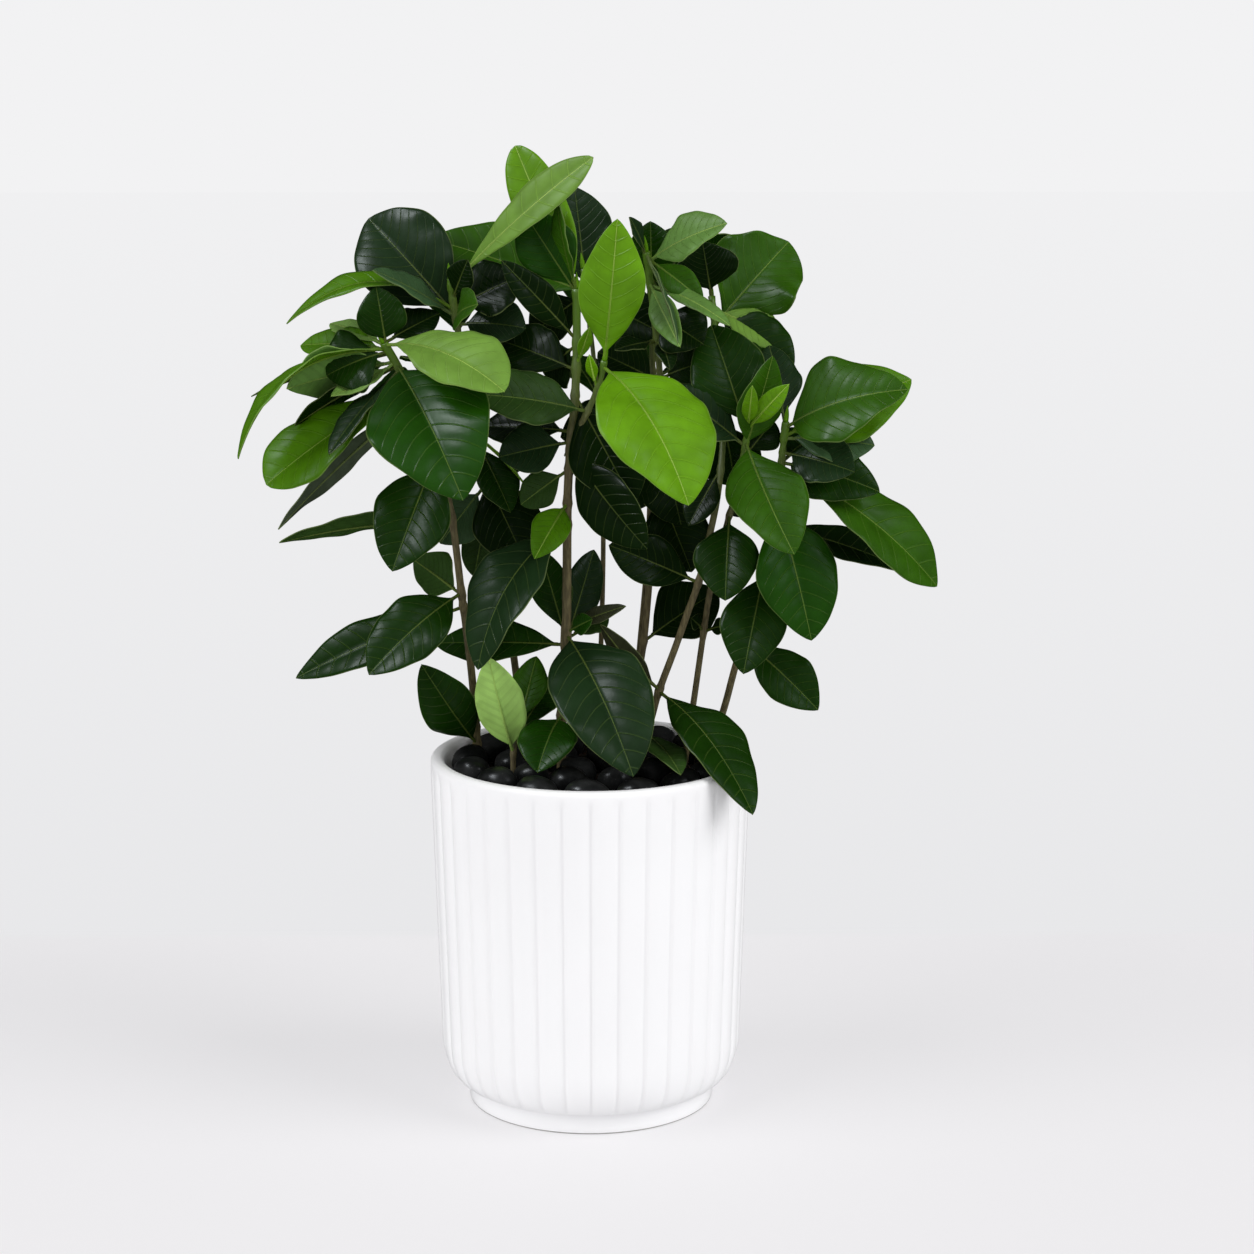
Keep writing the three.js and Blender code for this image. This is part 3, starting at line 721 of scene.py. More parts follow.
@dataclass(frozen=True)
class Leaf:
    """One leaf. It grows from its axis at the height `at`, in millimetres, and reaches to `tip`.

    Its upper side looks towards `face`: degrees round from the front and degrees above the horizon.
    `bow` and `sway` bend it and `widest` places its greatest width, as shares of its length. `twist` is
    in degrees, and `wave` and `blunt` scale the waves of its edge and the roundness of its ends.
    """

    at: float
    tip: Point
    width: float
    face: Pair
    tone: Tone
    bow: float = 0.03
    twist: float = 0.0
    wave: float = 1.0
    widest: float = 0.5
    sway: float = 0.0
    blunt: float = 0.0


@dataclass(frozen=True)
class Growth:
    """A leaf in its place: where it leaves its shoot, and its number there, by which leaves differ."""

    leaf: Leaf
    base: Vector
    index: int


@dataclass(frozen=True)
class Axis:
    """One woody shoot: its radius, the points up its middle and its leaves."""

    radius: float
    points: tuple[Point, ...]
    leaves: tuple[Leaf, ...]

    def point(self, share: float) -> Vector:
        """Finds a place on the centripetal curve through the points.

        Args:
            share: How far along it lies, from 0 to 1.

        Returns:
            The place.
        """
        points = [Vector(point) for point in self.points]
        last = len(points) - 1
        index = min(int(share * last), last - 1)
        weight = share * last - index
        one, two = points[index], points[index + 1]
        before = points[index - 1] if index > 0 else 2 * points[0] - points[1]
        after = points[index + 2] if index + 2 <= last else 2 * points[last] - points[last - 1]
        gaps = [math.sqrt((b - a).length) for a, b in ((before, one), (one, two), (two, after))]
        start = (one - before) / gaps[0] - (two - before) / (gaps[0] + gaps[1]) + (two - one) / gaps[1]
        end = (two - one) / gaps[1] - (after - one) / (gaps[1] + gaps[2]) + (after - two) / gaps[2]
        start, end = start * gaps[1], end * gaps[1]
        square = -3 * one + 3 * two - 2 * start - end
        cube = 2 * one - 2 * two + start + end
        return one + start * weight + square * weight**2 + cube * weight**3

    def point_at_height(self, height: float) -> Vector:
        """Finds the place on the axis at a height, by halving.

        Args:
            height: The height.

        Returns:
            The place.
        """
        low, high = 0.0, 1.0
        for _ in range(30):
            middle = (low + high) / 2
            if self.point(middle).z < height:
                low = middle
            else:
                high = middle
        return self.point(low)

    def length(self) -> float:
        """Length of the straight lines through the points."""
        return sum((Vector(b) - Vector(a)).length for a, b in zip(self.points, self.points[1:]))


@dataclass(frozen=True)
class LeafShape:
    """The form that all leaves share. Sizes are in millimetres."""

    petiole_length: float = 5.0
    petiole_radius: float = 0.9
    midrib_length: float = 0.95
    midrib_taper: float = 0.78
    midrib_rings: int = 22
    midrib_sides: int = 8
    sheet: float = 0.5
    fold: float = 13.0
    edge_wave: float = 0.045
    leaf_phase: float = 2.4
    wave_rate: float = 9.0
    flutter: float = 0.35
    flutter_rates: Pair = (3.1, 1.7)
    crown: Pair = (2.1, 1.4)
    base_taper: float = 1.15
    tip_taper: float = 0.68
    tip_start: float = 0.86
    tip_drawn: float = 0.22
    veins: VeinPattern = VeinPattern()
    quilting: float = 0.5
    quilted_width: float = 34.0
    puff_power: float = 0.8
    puff_level: float = 0.6
    uneven: float = 0.035
    uneven_rates: Pair = (11.0, 9.0)
    step: float = 1.2
    step_across: float = 4.32

    def outline(self, share: Array, leaf: Leaf) -> Array:
        """Draws the outline of a blade.

        Args:
            share: Places along the blade, from 0 to 1.
            leaf: The leaf.

        Returns:
            Half widths, from 0 at both ends to 1 at the widest place.
        """
        shifted = np.clip(share ** (math.log(0.5) / math.log(leaf.widest)), 0, 1)
        power = (self.base_taper + (self.tip_taper - self.base_taper) * share) * (1 - leaf.blunt)
        drawn_in = 1 - self.tip_drawn * np.clip((share - self.tip_start) / (1 - self.tip_start), 0, 1) ** 2
        return np.abs(np.sin(np.pi * shifted)) ** power * drawn_in

    def frames(self, growth: Growth, places: Array) -> tuple[Array, ...]:
        """Works out the run of the midrib.

        Args:
            growth: The leaf in its place.
            places: Shares of its whole length.

        Returns:
            The midrib's points, the directions to its right and the directions that its face looks in.
        """
        leaf, start = growth.leaf, np.array(growth.base)
        chord = np.array(leaf.tip) - start
        length = np.linalg.norm(chord)
        along = chord / length
        turn, rise = (math.radians(angle) for angle in leaf.face)
        look = np.array([math.sin(turn) * math.cos(rise), -math.cos(turn) * math.cos(rise), math.sin(rise)])
        outward = look - along * (look @ along)
        outward /= np.linalg.norm(outward)
        side = np.cross(along, outward)
        arch = 4 * length * (leaf.bow * outward + leaf.sway * side)
        t = places[:, None]
        middle = start + chord * t + arch * t * (1 - t)
        tangent = chord + arch * (1 - 2 * t)
        tangent /= np.linalg.norm(tangent, axis=1, keepdims=True)
        right = side - tangent * (tangent @ side)[:, None]
        right /= np.linalg.norm(right, axis=1, keepdims=True)
        angle = -math.radians(leaf.twist) * (t - 0.5)
        right = right * np.cos(angle) + np.cross(tangent, right) * np.sin(angle)
        return middle, right, np.cross(right, tangent)

    def half_widths(self, growth: Growth, share: Array, across: Array) -> Array:
        """Works out the blade's half width, a little uneven along its edges.

        Args:
            growth: The leaf in its place.
            share: Places along the blade, in a column.
            across: Places across it from -1 to 1, in a row.

        Returns:
            The half width at each point.
        """
        leaf, index = growth.leaf, growth.index
        least = self.petiole_radius * np.where(share > 0.5, 0.15, 1)
        half = np.maximum(least, leaf.width / 2 * self.outline(share, leaf))
        right, left = self.uneven_rates
        swell = np.where(across > 0, np.sin(share * right + index), np.cos(share * left + index * 2))
        return half * (1 + self.uneven * leaf.wave * swell)

    def heights(self, growth: Growth, share: Array, across: Array,
                half: Array, veins: Array) -> Array:
        """Works out how the blade folds, waves and bulges between its veins.

        Args:
            growth: The leaf in its place.
            share: Places along the blade, in a column.
            across: Places across it from -1 to 1, in a row.
            half: The half width at each point.
            veins: The count of veins up to each point.

        Returns:
            The height of each point over the midrib's plane.
        """
        leaf, reach = growth.leaf, np.abs(across)
        ends = np.sin(np.pi * share)
        phase = growth.index * self.leaf_phase + share * self.wave_rate
        ripple = self.edge_wave * leaf.wave * leaf.width * ends
        wave = np.where(across > 0, ripple * np.sin(phase), ripple * np.cos(phase * 1.1)) * reach**2
        along_rate, across_rate = self.flutter_rates
        flutter = self.flutter * ripple * np.sin(phase * along_rate + across * across_rate) * reach**3
        rise, fall = self.crown
        crown = math.sin(math.radians(self.fold)) * half * (rise * reach - fall * reach**2)
        puff = np.abs(np.sin(np.pi * veins)) ** self.puff_power - self.puff_level
        room = (1 - reach**4) * np.minimum(1, reach * 4) * ends**0.5
        quilt = self.quilting * min(1.0, leaf.width / self.quilted_width) * puff * room
        return crown + wave + flutter + quilt

    def build_blade(self, mesh: Mesh, growth: Growth) -> None:
        """Adds the upper skin of a blade: a grid bent to the leaf's form, with its place noted on it.

        Args:
            mesh: The bmesh that it is added to.
            growth: The leaf in its place.
        """
        length = (Vector(growth.leaf.tip) - growth.base).length
        petiole = self.petiole_length / length
        rows = max(14, round(length / self.step))
        columns = 2 * max(5, round(growth.leaf.width / self.step_across))
        share = np.linspace(0, 1, rows + 1)[:, None]
        across = np.linspace(-1, 1, columns + 1)[None, :]
        half = self.half_widths(growth, share, across)
        width = half * math.cos(math.radians(self.fold)) * across
        veins = self.veins.count(share, np.abs(width) / length)
        height = self.heights(growth, share, across, half, veins)
        middle, right, normal = self.frames(growth, petiole + share[:, 0] * (1 - petiole))
        spots = middle[:, None] + right[:, None] * width[..., None] + normal[:, None] * height[..., None]
        made = bmesh.ops.create_grid(mesh, x_segments=columns, y_segments=rows, size=0.5)["verts"]
        blade = mesh.verts.layers.float_vector["blade"]
        reached = mesh.verts.layers.float["reach"]
        for row in range(rows + 1):
            for column in range(columns + 1):
                vertex = made[row * (columns + 1) + column]
                vertex.co = spots[row, column] * MM
                vertex[blade] = (across[0, column], share[row, 0], width[row, column] / length)
                vertex[reached] = width[row, column]

    def build_rib(self, mesh: Mesh, growth: Growth) -> list:
        """Adds the stalk, which runs on under the blade as its midrib.

        Args:
            mesh: The bmesh that it is added to.
            growth: The leaf in its place.

        Returns:
            The stalk's vertices, as (vertex, ring) pairs.
        """
        places = np.linspace(0, self.midrib_length, self.midrib_rings)
        middle, _, normal = self.frames(growth, places)
        radii = self.petiole_radius * (1.0 - self.midrib_taper * places)
        drop = np.minimum(1.0, places * 8) * (0.35 * radii + self.sheet / 2)
        path = [Vector(spot) for spot in (middle - normal * drop[:, None]) * MM]
        return rolled_tube(mesh, path, list(radii * MM), self.midrib_sides)


class Skin(Enum):
    """The materials of a leafy stem, in the order of its slots."""

    UPPER = 0
    UNDER = 1
    BARK = 2


@dataclass
class LeafyStem:
    """One stem of the plant, with all of its leaves."""

    name: str
    axes: tuple[Axis, ...]
    shape: LeafShape = LeafShape()
    root_depth: float = 17.0
    wood_sides: int = 14
    wood_step: float = 2.0
    wood_slimmer: Pair = (0.96, 0.2)
    shoot_age: float = 0.6
    node_swelling: float = 0.5
    node_length: float = 1.8
    bud_length: float = 8.0
    bud_radius: float = 1.3
    bud_swell: Point = (0.9, 0.5, 1.38)
    bud_aim: float = 0.97
    bud_rings: int = 9
    bud_sides: int = 10
    mesh: Mesh = field(init=False)
    stalk: RGBA = colour(132, 148, 66)
    stalk_share: float = 0.35
    stalk_gloss: float = 0.4
    bud_gloss: float = 0.5
    off_midrib: float = 9.0

    def build(self, materials: list[Material]) -> None:
        """Builds the blades as sheets, then the stalks, shoots and buds, and joins them in one piece.

        Args:
            materials: The materials of both sides of the leaves and of the bark.
        """
        self.mesh = bmesh.new()
        layers = self.mesh.verts.layers
        layers.float_vector.new("blade")
        layers.float_color.new("tone")
        for name in ("gloss", "age", "reach"):
            layers.float.new(name)
        growths = [
            Growth(leaf, axis.point_at_height(leaf.at), index)
            for axis in self.axes
            for index, leaf in enumerate(axis.leaves)
        ]
        for growth in growths:
            self.add_blade(growth)
        self.thicken()
        for growth in growths:
            self.add_stalk(growth)
        for axis in self.axes:
            self.add_wood(axis, rooted=axis is self.axes[0])
            self.add_bud(axis)
        finish_piece(self.name + "_foliage", self.mesh, materials, self.name)

    def add_blade(self, growth: Growth) -> None:
        """Adds one blade's upper skin with its colour and gloss.

        Args:
            growth: The leaf in its place.
        """
        count = len(self.mesh.verts)
        self.shape.build_blade(self.mesh, growth)
        self.mesh.verts.ensure_lookup_table()
        self.paint(self.mesh.verts[count:], *growth.leaf.tone.value)

    def paint(self, vertices: list, tone: RGBA, gloss: float) -> None:
        """Writes colour and gloss on vertices.

        Args:
            vertices: The vertices.
            tone: Their colour.
            gloss: Their gloss, from 0 to 1.
        """
        layers = self.mesh.verts.layers
        tones, glosses = layers.float_color["tone"], layers.float["gloss"]
        for vertex in vertices:
            vertex[tones] = tone
            vertex[glosses] = gloss

    def thicken(self) -> None:
        """Gives the blades their thickness, and their undersides a material of their own."""
        made = bmesh.ops.solidify(self.mesh, geom=self.mesh.faces[:], thickness=self.shape.sheet * MM)
        pushed = {face for face in made["geom"] if isinstance(face, bmesh.types.BMFace)}
        for face in self.mesh.faces:
            face.material_index = (Skin.UPPER if face in pushed else Skin.UNDER).value

    def add_stalk(self, growth: Growth) -> None:
        """Adds a leaf's stalk and midrib.

        Args:
            growth: The leaf in its place.
        """
        tube = self.shape.build_rib(self.mesh, growth)
        tone = blend(growth.leaf.tone.value[0], self.stalk, self.stalk_share)
        self.paint([vertex for vertex, _ in tube], tone, self.stalk_gloss)
        self.dress_tube(tube, Skin.UNDER)

    def add_wood(self, axis: Axis, rooted: bool) -> None:
        """Adds the shoot itself, swollen a little where its leaves grow.

        Args:
            axis: The shoot.
            rooted: Whether it comes out of the soil, not out of another shoot.
        """
        steps = max(12, round(axis.length() / self.wood_step))
        path = [axis.point(step / steps) for step in range(steps + 1)]
        if rooted:
            path.insert(0, Vector(axis.points[0]) - Vector((0, 0, self.root_depth)))
        least, slimmer = self.wood_slimmer
        radii = []
        for spot in path:
            swelling = sum(math.exp(-(((spot.z - leaf.at) / self.node_length) ** 2)) for leaf in axis.leaves)
            share = (spot.z - path[0].z) / (path[-1].z - path[0].z)
            bare = axis.radius * (least - slimmer * share)
            radii.append((bare + min(1.0, swelling) * self.node_swelling) * MM)
        tube = rolled_tube(self.mesh, [spot * MM for spot in path], radii, self.wood_sides)
        self.dress_tube(tube, Skin.BARK, 0.0 if rooted else self.shoot_age)

    def add_bud(self, axis: Axis) -> None:
        """Adds the pointed green bud at the end of a shoot.

        Args:
            axis: The shoot.
        """
        end = axis.point(1.0)
        way = (end - axis.point(self.bud_aim)).normalized()
        shares = [float(share) for share in np.linspace(0, 1, self.bud_rings)]
        path = [(end + way * (self.bud_length * share)) * MM for share in shares]
        foot, rise, fall = self.bud_swell
        radii = [self.bud_radius * (foot + rise * share - fall * share**2) * MM for share in shares]
        tube = rolled_tube(self.mesh, path, radii, self.bud_sides)
        self.paint([vertex for vertex, _ in tube], Tone.YOUNG.value[0], self.bud_gloss)
        self.dress_tube(tube, Skin.UNDER)

    def dress_tube(self, tube: list, skin: Skin, first_age: float = 0.0) -> None:
        """Writes a tube's material and attributes on it, then sews it up.

        Args:
            tube: The tube's vertices, as (vertex, ring) pairs.
            skin: Its material.
            first_age: How young it is at its foot. It ends at 1.
        """
        layers = self.mesh.verts.layers
        blade, age, reach = layers.float_vector["blade"], layers.float["age"], layers.float["reach"]
        last = tube[-1][1]
        for vertex, ring in tube:
            vertex[blade] = (0.0, ring / last, 0.0)
            vertex[reach] = self.off_midrib
            vertex[age] = first_age + (1.0 - first_age) * ring / last
        for face in {face for vertex, _ in tube for face in vertex.link_faces}:
            face.material_index = skin.value
        sew(self.mesh, [vertex for vertex, _ in tube])


@dataclass
class Plant:
    """The whole gardenia, with the stems and leaves of the part's own source, in millimetres."""

    stems: tuple[LeafyStem, ...]
    upper: LeafFinish = LeafFinish(
        "leaf_upper_side", crease_shade=0.45, vein_share=(0.5, 0.02), relief=(0.02, -0.16, 0.0, -0.3),
        roughness=(0.5, 0.42),
    )
    under: LeafFinish = LeafFinish(
        "leaf_underside", crease_shade=0.1, vein_share=(0.0, 0.8), relief=(0.1, 0.0, 0.6, 1.0),
        roughness=(0.55, 0.15),
    )
    bark: BarkFinish = BarkFinish()

    def build(self) -> None:
        """Builds every stem with the plant's three materials."""
        materials = [self.upper.material(), self.under.material(), self.bark.material()]
        for stem in self.stems:
            stem.build(materials)


STEMS = (
    LeafyStem("stem_left", (Axis(2.1, (
        (-55, 20, 160), (-56, 18, 180), (-58, 13, 212), (-62, 8, 250), (-68, 5, 298),
        (-80, 2, 338), (-91, 0, 362), (-97, -2, 373),
    ), (
        Leaf(371, (-100, -6, 400), 25, (0, 38), Tone.DARK, bow=0.08, widest=0.4),
        Leaf(373, (-71, 8, 386), 20, (0, 45), Tone.DEEP),
        Leaf(372, (-39, -45, 355), 42, (10, 56), Tone.LIME, bow=0.12, widest=0.6, blunt=0.2),
        Leaf(372, (-125, 32, 379), 16, (0, 60), Tone.PALE),
        Leaf(369, (-124, -6, 358), 34, (-14, 28), Tone.DARK, bow=0.08),
        Leaf(370, (-139, 26, 369), 22, (-20, 50), Tone.FRESH, bow=0.04),
        Leaf(370, (-164, -30, 322), 26, (-85, 60), Tone.FRESH, bow=0.19, blunt=0.2),
        Leaf(364, (-143, -6, 352), 33, (180, 40), Tone.SAGE),
        Leaf(364, (-121, -18, 350), 16, (-30, 62), Tone.PALE, bow=-0.05),
        Leaf(368, (-162, 14, 346), 12, (180, 82), Tone.SLATE),
        Leaf(352, (-153, -12, 307), 40, (-30, 38), Tone.FRESH, bow=0.04, widest=0.68, blunt=0.25),
        Leaf(362, (-140, -2, 334), 18, (180, 60), Tone.DEEP),
        Leaf(360, (-121, -36, 325), 19, (-50, 15), Tone.SLATE, twist=30),
        Leaf(345, (-149, -2, 284), 12, (190, 25), Tone.ASH, bow=0.05, twist=60, wave=3),
        Leaf(362, (-58, -60, 307), 60, (-4, 42), Tone.GLOSSY, bow=0.12),
        Leaf(286, (-149, 2, 277), 23, (180, 60), Tone.OLIVE, bow=0.04),
        Leaf(318, (-93, -27, 268), 38, (-8, 12), Tone.DARK, bow=0.05),
        Leaf(250, (-86, 22, 265), 24, (185, 12), Tone.OLIVE),
        Leaf(251, (-105, -26, 218), 35, (-15, 28), Tone.DARK, bow=0.08),
        Leaf(244, (-143, 8, 209), 26, (0, 42), Tone.DARK, bow=0.04),
        Leaf(173, (-81, -8, 219), 27, (-8, 12), Tone.DARK, bow=0.06),
        Leaf(182, (-47, 12, 207), 13, (200, 10), Tone.PALE),
        Leaf(345, (-112, 62, 338), 32, (-30, 55), Tone.DARK, bow=0.08),
        Leaf(290, (-98, 62, 262), 32, (-40, 45), Tone.DARK, bow=0.08),
    )),)),
    LeafyStem("stem_left_back", (Axis(2, (
        (-32, 38, 160), (-34, 38, 180), (-40, 36, 230), (-48, 32, 280), (-56, 26, 330),
        (-61, 20, 365), (-65, 14, 392), (-66, 12, 402),
    ), (
        Leaf(385, (-106, 36, 429), 49, (-12, 25), Tone.SLATE, bow=0.1, blunt=0.1),
        Leaf(387, (-143, 0, 382), 20, (0, 73), Tone.FRESH, bow=0.22),
        Leaf(384, (-101, -10, 408), 20, (0, 58), Tone.SILVER),
        Leaf(382, (-52, -22, 393), 21, (-20, 24), Tone.MOSS, bow=0.06),
        Leaf(398, (2, -8, 460), 21, (20, 44), Tone.LIME, bow=0.05, widest=0.66, blunt=0.2),
        Leaf(392, (-57, -2, 412), 15, (0, 25), Tone.DEEP),
        Leaf(380, (-30, 6, 379), 31, (15, 40), Tone.SLATE, bow=0.06),
        Leaf(322, (-38, 4, 291), 22, (25, 10), Tone.DARK),
        Leaf(326, (-31, 12, 303), 9, (80, 10), Tone.YOUNG),
        Leaf(306, (-30, 12, 262), 36, (12, 12), Tone.DEEP, bow=0.06),
        Leaf(300, (-73, 26, 272), 28, (-18, 5), Tone.SILVER),
        Leaf(290, (-57, 34, 254), 19, (0, 10), Tone.OLIVE),
        Leaf(340, (-92, 78, 356), 34, (200, 60), Tone.DARK, bow=0.08),
        Leaf(344, (-42, 92, 350), 34, (170, 55), Tone.DARK, bow=0.1),
        Leaf(300, (-40, 90, 296), 34, (180, 55), Tone.DARK, bow=0.1),
        Leaf(372, (-80, 84, 398), 32, (190, 50), Tone.DARK, bow=0.08),
        Leaf(398, (-90, 60, 420), 28, (190, 45), Tone.DARK, bow=0.06),
        Leaf(388, (-33, 14, 403), 30, (0, 30), Tone.DEEP),
    )),)),
    LeafyStem("stem_low", (Axis(1.6, (
        (-37, -14, 160), (-37, -14, 177), (-34, -12, 190),
    ), (
        Leaf(177, (-48, -26, 226), 25, (175, 8), Tone.MINT, bow=-0.06, widest=0.42, blunt=0.15),
        Leaf(189, (-26, 6, 220), 18, (0, 20), Tone.MOSS),
        Leaf(186, (-17, 22, 206), 18, (0, 30), Tone.DARK),
    )),)),
    LeafyStem("stem_centre", (Axis(2.5, (
        (-14, -5, 160), (-14, -5, 190), (-11.5, -5, 232), (-11, -5, 262), (-10.5, -4, 300),
        (-9, -3, 325), (-7, -2, 345), (-6, 0, 370), (-6, 2, 398),
    ), (
        Leaf(193, (-25, -42, 174), 30, (-8, 46), Tone.GLOSSY, bow=0.1),
        Leaf(228, (-77, 47, 218), 25, (0, 36), Tone.DARK, bow=0.02),
        Leaf(286, (-53, -34, 222), 40, (-40, 25), Tone.SLATE, bow=0.16),
        Leaf(297, (-26, -28, 274), 19, (0, 25), Tone.FRESH, bow=0.08, widest=0.44),
        Leaf(231, (-24, 12, 271), 20, (0, 15), Tone.DARK),
        Leaf(229, (2, 14, 271), 20, (5, 5), Tone.SLATE),
        Leaf(233, (20, -62, 177), 50, (8, 42), Tone.SLATE, bow=0.1, widest=0.46),
        Leaf(231, (9, 8, 239), 15, (0, 50), Tone.OLIVE),
        Leaf(236, (17, -16, 249), 9, (0, 40), Tone.UMBER),
        Leaf(234, (1, -18, 243), 11, (-20, 20), Tone.GLOSSY),
        Leaf(326, (-43, -12, 320), 27, (0, 30), Tone.SLATE),
        Leaf(313, (-33, 2, 295), 19, (0, 25), Tone.OLIVE),
        Leaf(322, (27, -24, 278), 29, (-25, 8), Tone.DEEP, bow=0.06),
        Leaf(360, (-44, 14, 373), 30, (0, 35), Tone.DEEP),
        Leaf(331, (-52, 14, 331), 26, (0, 40), Tone.DEEP),
        Leaf(374, (-41, -6, 412), 17, (-8, 25), Tone.DEEP, bow=0.04),
        Leaf(396, (-31, 8, 434), 29, (-12, 22), Tone.GLOSSY, bow=0.06),
        Leaf(397, (-15, -6, 440), 17, (-62, 10), Tone.MOSS),
        Leaf(397, (-35, 24, 464), 27, (-10, 12), Tone.YOUNG, blunt=0.3),
        Leaf(362, (0, -12, 381), 7, (20, 10), Tone.YOUNG),
        Leaf(372, (-22, 18, 356), 28, (0, 20), Tone.DEEP),
        Leaf(343, (-30, 20, 338), 22, (0, 20), Tone.DEEP),
        Leaf(348, (21, -9, 297), 38, (5, 8), Tone.DEEP),
    )), Axis(1.6, (
        (-9, -3, 326), (-1, -7, 341), (5, -12, 356), (7, -15, 366),
    ), (
        Leaf(341, (-54, -22, 351), 32, (0, 40), Tone.OLIVE, bow=0.05),
        Leaf(365, (13, -32, 433), 31, (5, 4), Tone.YOUNG, bow=0.05),
        Leaf(363, (45, -70, 306), 58, (20, 44), Tone.YOUNG, bow=0.12),
        Leaf(352, (0, -16, 369), 6, (-20, 10), Tone.YOUNG),
    )),)),
    LeafyStem("stem_thin", (Axis(1.4, (
        (2, 45, 160), (4, 45, 190), (6, 42, 235), (6.5, 40, 290), (4, 42, 340), (0, 45, 380),
        (-3, 46, 404),
    ), (
        Leaf(392, (-7, 54, 443), 34, (5, 8), Tone.SLATE),
        Leaf(392, (-77, 40, 419), 37, (0, 38), Tone.MOSS),
        Leaf(391, (35, 44, 373), 30, (0, 15), Tone.DEEP),
        Leaf(392, (-29, 56, 371), 25, (0, 20), Tone.DEEP),
        Leaf(300, (2, 108, 300), 34, (180, 60), Tone.DARK, bow=0.1),
        Leaf(340, (-18, 112, 352), 34, (190, 58), Tone.DARK, bow=0.1),
        Leaf(376, (-30, 100, 398), 32, (190, 50), Tone.DARK, bow=0.1),
        Leaf(402, (8, 88, 422), 30, (170, 40), Tone.DARK, bow=0.08),
    )),)),
    LeafyStem("stem_middle", (Axis(1.9, (
        (16, 26, 160), (19, 25, 180), (26, 22, 222), (29, 20, 255), (32, 18, 300),
        (34, 16, 350), (30, 12, 390), (27, 8, 415),
    ), (
        Leaf(414, (41, -34, 376), 12, (75, 10), Tone.SILVER),
        Leaf(412, (19, -2, 432), 10, (60, 10), Tone.SLATE),
        Leaf(400, (42, -30, 374), 14, (-20, 25), Tone.SAGE),
        Leaf(410, (64, -16, 430), 26, (0, 42), Tone.SAGE, bow=0.06),
        Leaf(404, (36, 18, 392), 14, (0, 20), Tone.DARK),
        Leaf(412, (54, 4, 392), 16, (15, 20), Tone.MOSS),
        Leaf(399, (66, -12, 382), 13, (0, 66), Tone.SAGE, bow=0.06),
        Leaf(372, (12, -6, 370), 13, (0, 60), Tone.DEEP),
        Leaf(372, (38, -10, 361), 11, (20, 40), Tone.DEEP, bow=0.1),
        Leaf(302, (49, 2, 262), 34, (10, 10), Tone.DEEP),
        Leaf(224, (63, 34, 247), 34, (0, 38), Tone.DEEP),
        Leaf(336, (-14, 13, 326), 32, (0, 35), Tone.DEEP),
        Leaf(320, (15, 6, 291), 24, (0, 15), Tone.DEEP),
        Leaf(352, (4, 22, 366), 30, (0, 35), Tone.DEEP),
        Leaf(354, (56, 2, 364), 24, (0, 35), Tone.DEEP),
        Leaf(386, (54, 0, 372), 30, (0, 30), Tone.DEEP),
        Leaf(326, (44, 8, 284), 36, (5, 12), Tone.DEEP),
        Leaf(340, (62, 72, 330), 32, (165, 60), Tone.DARK, bow=0.1),
    )),)),
    LeafyStem("stem_right", (Axis(1.9, (
        (17, 5, 160), (23, 5, 170), (29, 4, 187), (33, 3, 202), (41, 0, 225), (47, -2, 243),
        (52, -4, 258), (57, -5, 280), (61, -3, 300), (64, 10, 330), (62, 22, 360),
        (59, 30, 392),
    ), (
        Leaf(181, (42, -62, 178), 18, (20, 60), Tone.OLIVE, bow=0.04),
        Leaf(203, (76, -60, 158), 34, (30, 48), Tone.DARK, bow=0.09),
        Leaf(204, (5, -10, 239), 13, (195, 35), Tone.UMBER, bow=-0.1, twist=40),
        Leaf(258, (9, -8, 277), 26, (0, 25), Tone.DEEP, bow=0.04),
        Leaf(378, (97, 46, 417), 49, (4, 30), Tone.MOSS, bow=0.04, wave=3, widest=0.54),
        Leaf(386, (95, 20, 368), 22, (10, 35), Tone.LIME, bow=0.06),
        Leaf(384, (98, 14, 360), 29, (5, 35), Tone.DARK, bow=0.05),
        Leaf(391, (54, 20, 419), 32, (-5, 20), Tone.DEEP),
        Leaf(312, (47, -12, 287), 18, (-20, 20), Tone.DEEP),
        Leaf(336, (71, 34, 300), 32, (8, 5), Tone.DEEP),
    )),)),
    LeafyStem("stem_right_front", (Axis(1.7, (
        (46, 14, 160), (47, 14, 170), (51, 14, 198), (55, 13, 228), (58, 10, 250),
        (62, 6, 270), (67, 2, 290), (71, -2, 306), (74, -4, 324), (75, -6, 334),
    ), (
        Leaf(231, (49, 4, 239), 9, (0, 30), Tone.DEEP),
        Leaf(231, (67, 2, 236), 9, (0, 30), Tone.DEEP),
        Leaf(290, (64, -24, 253), 32, (-5, 22), Tone.DARK, bow=0.06),
        Leaf(326, (95, -46, 279), 39, (10, 34), Tone.MOSS, bow=0.08, sway=0.05),
        Leaf(318, (88, 4, 335), 21, (0, 30), Tone.DEEP),
        Leaf(332, (76, -24, 355), 8, (0, 10), Tone.YOUNG, bow=0.05),
        Leaf(332, (93, -26, 356), 11, (0, 20), Tone.YOUNG, bow=0.05),
        Leaf(322, (86, -15, 368), 23, (25, 25), Tone.MOSS, bow=0.02, widest=0.42),
        Leaf(331, (58, 10, 380), 37, (-8, 28), Tone.DARK, bow=0.08),
        Leaf(324, (37, -10, 352), 28, (-5, 40), Tone.SLATE, bow=0.04),
    )),)),
    LeafyStem("stem_far_right", (Axis(1.9, (
        (57, 22, 160), (59, 22, 168), (66, 18, 192), (71, 12, 214), (77, 8, 235), (84, 4, 262),
        (88, 0, 290), (91, -3, 312), (92, -6, 326), (93, -7, 336),
    ), (
        Leaf(227, (110, -8, 196), 27, (5, 28), Tone.DARK, bow=0.06),
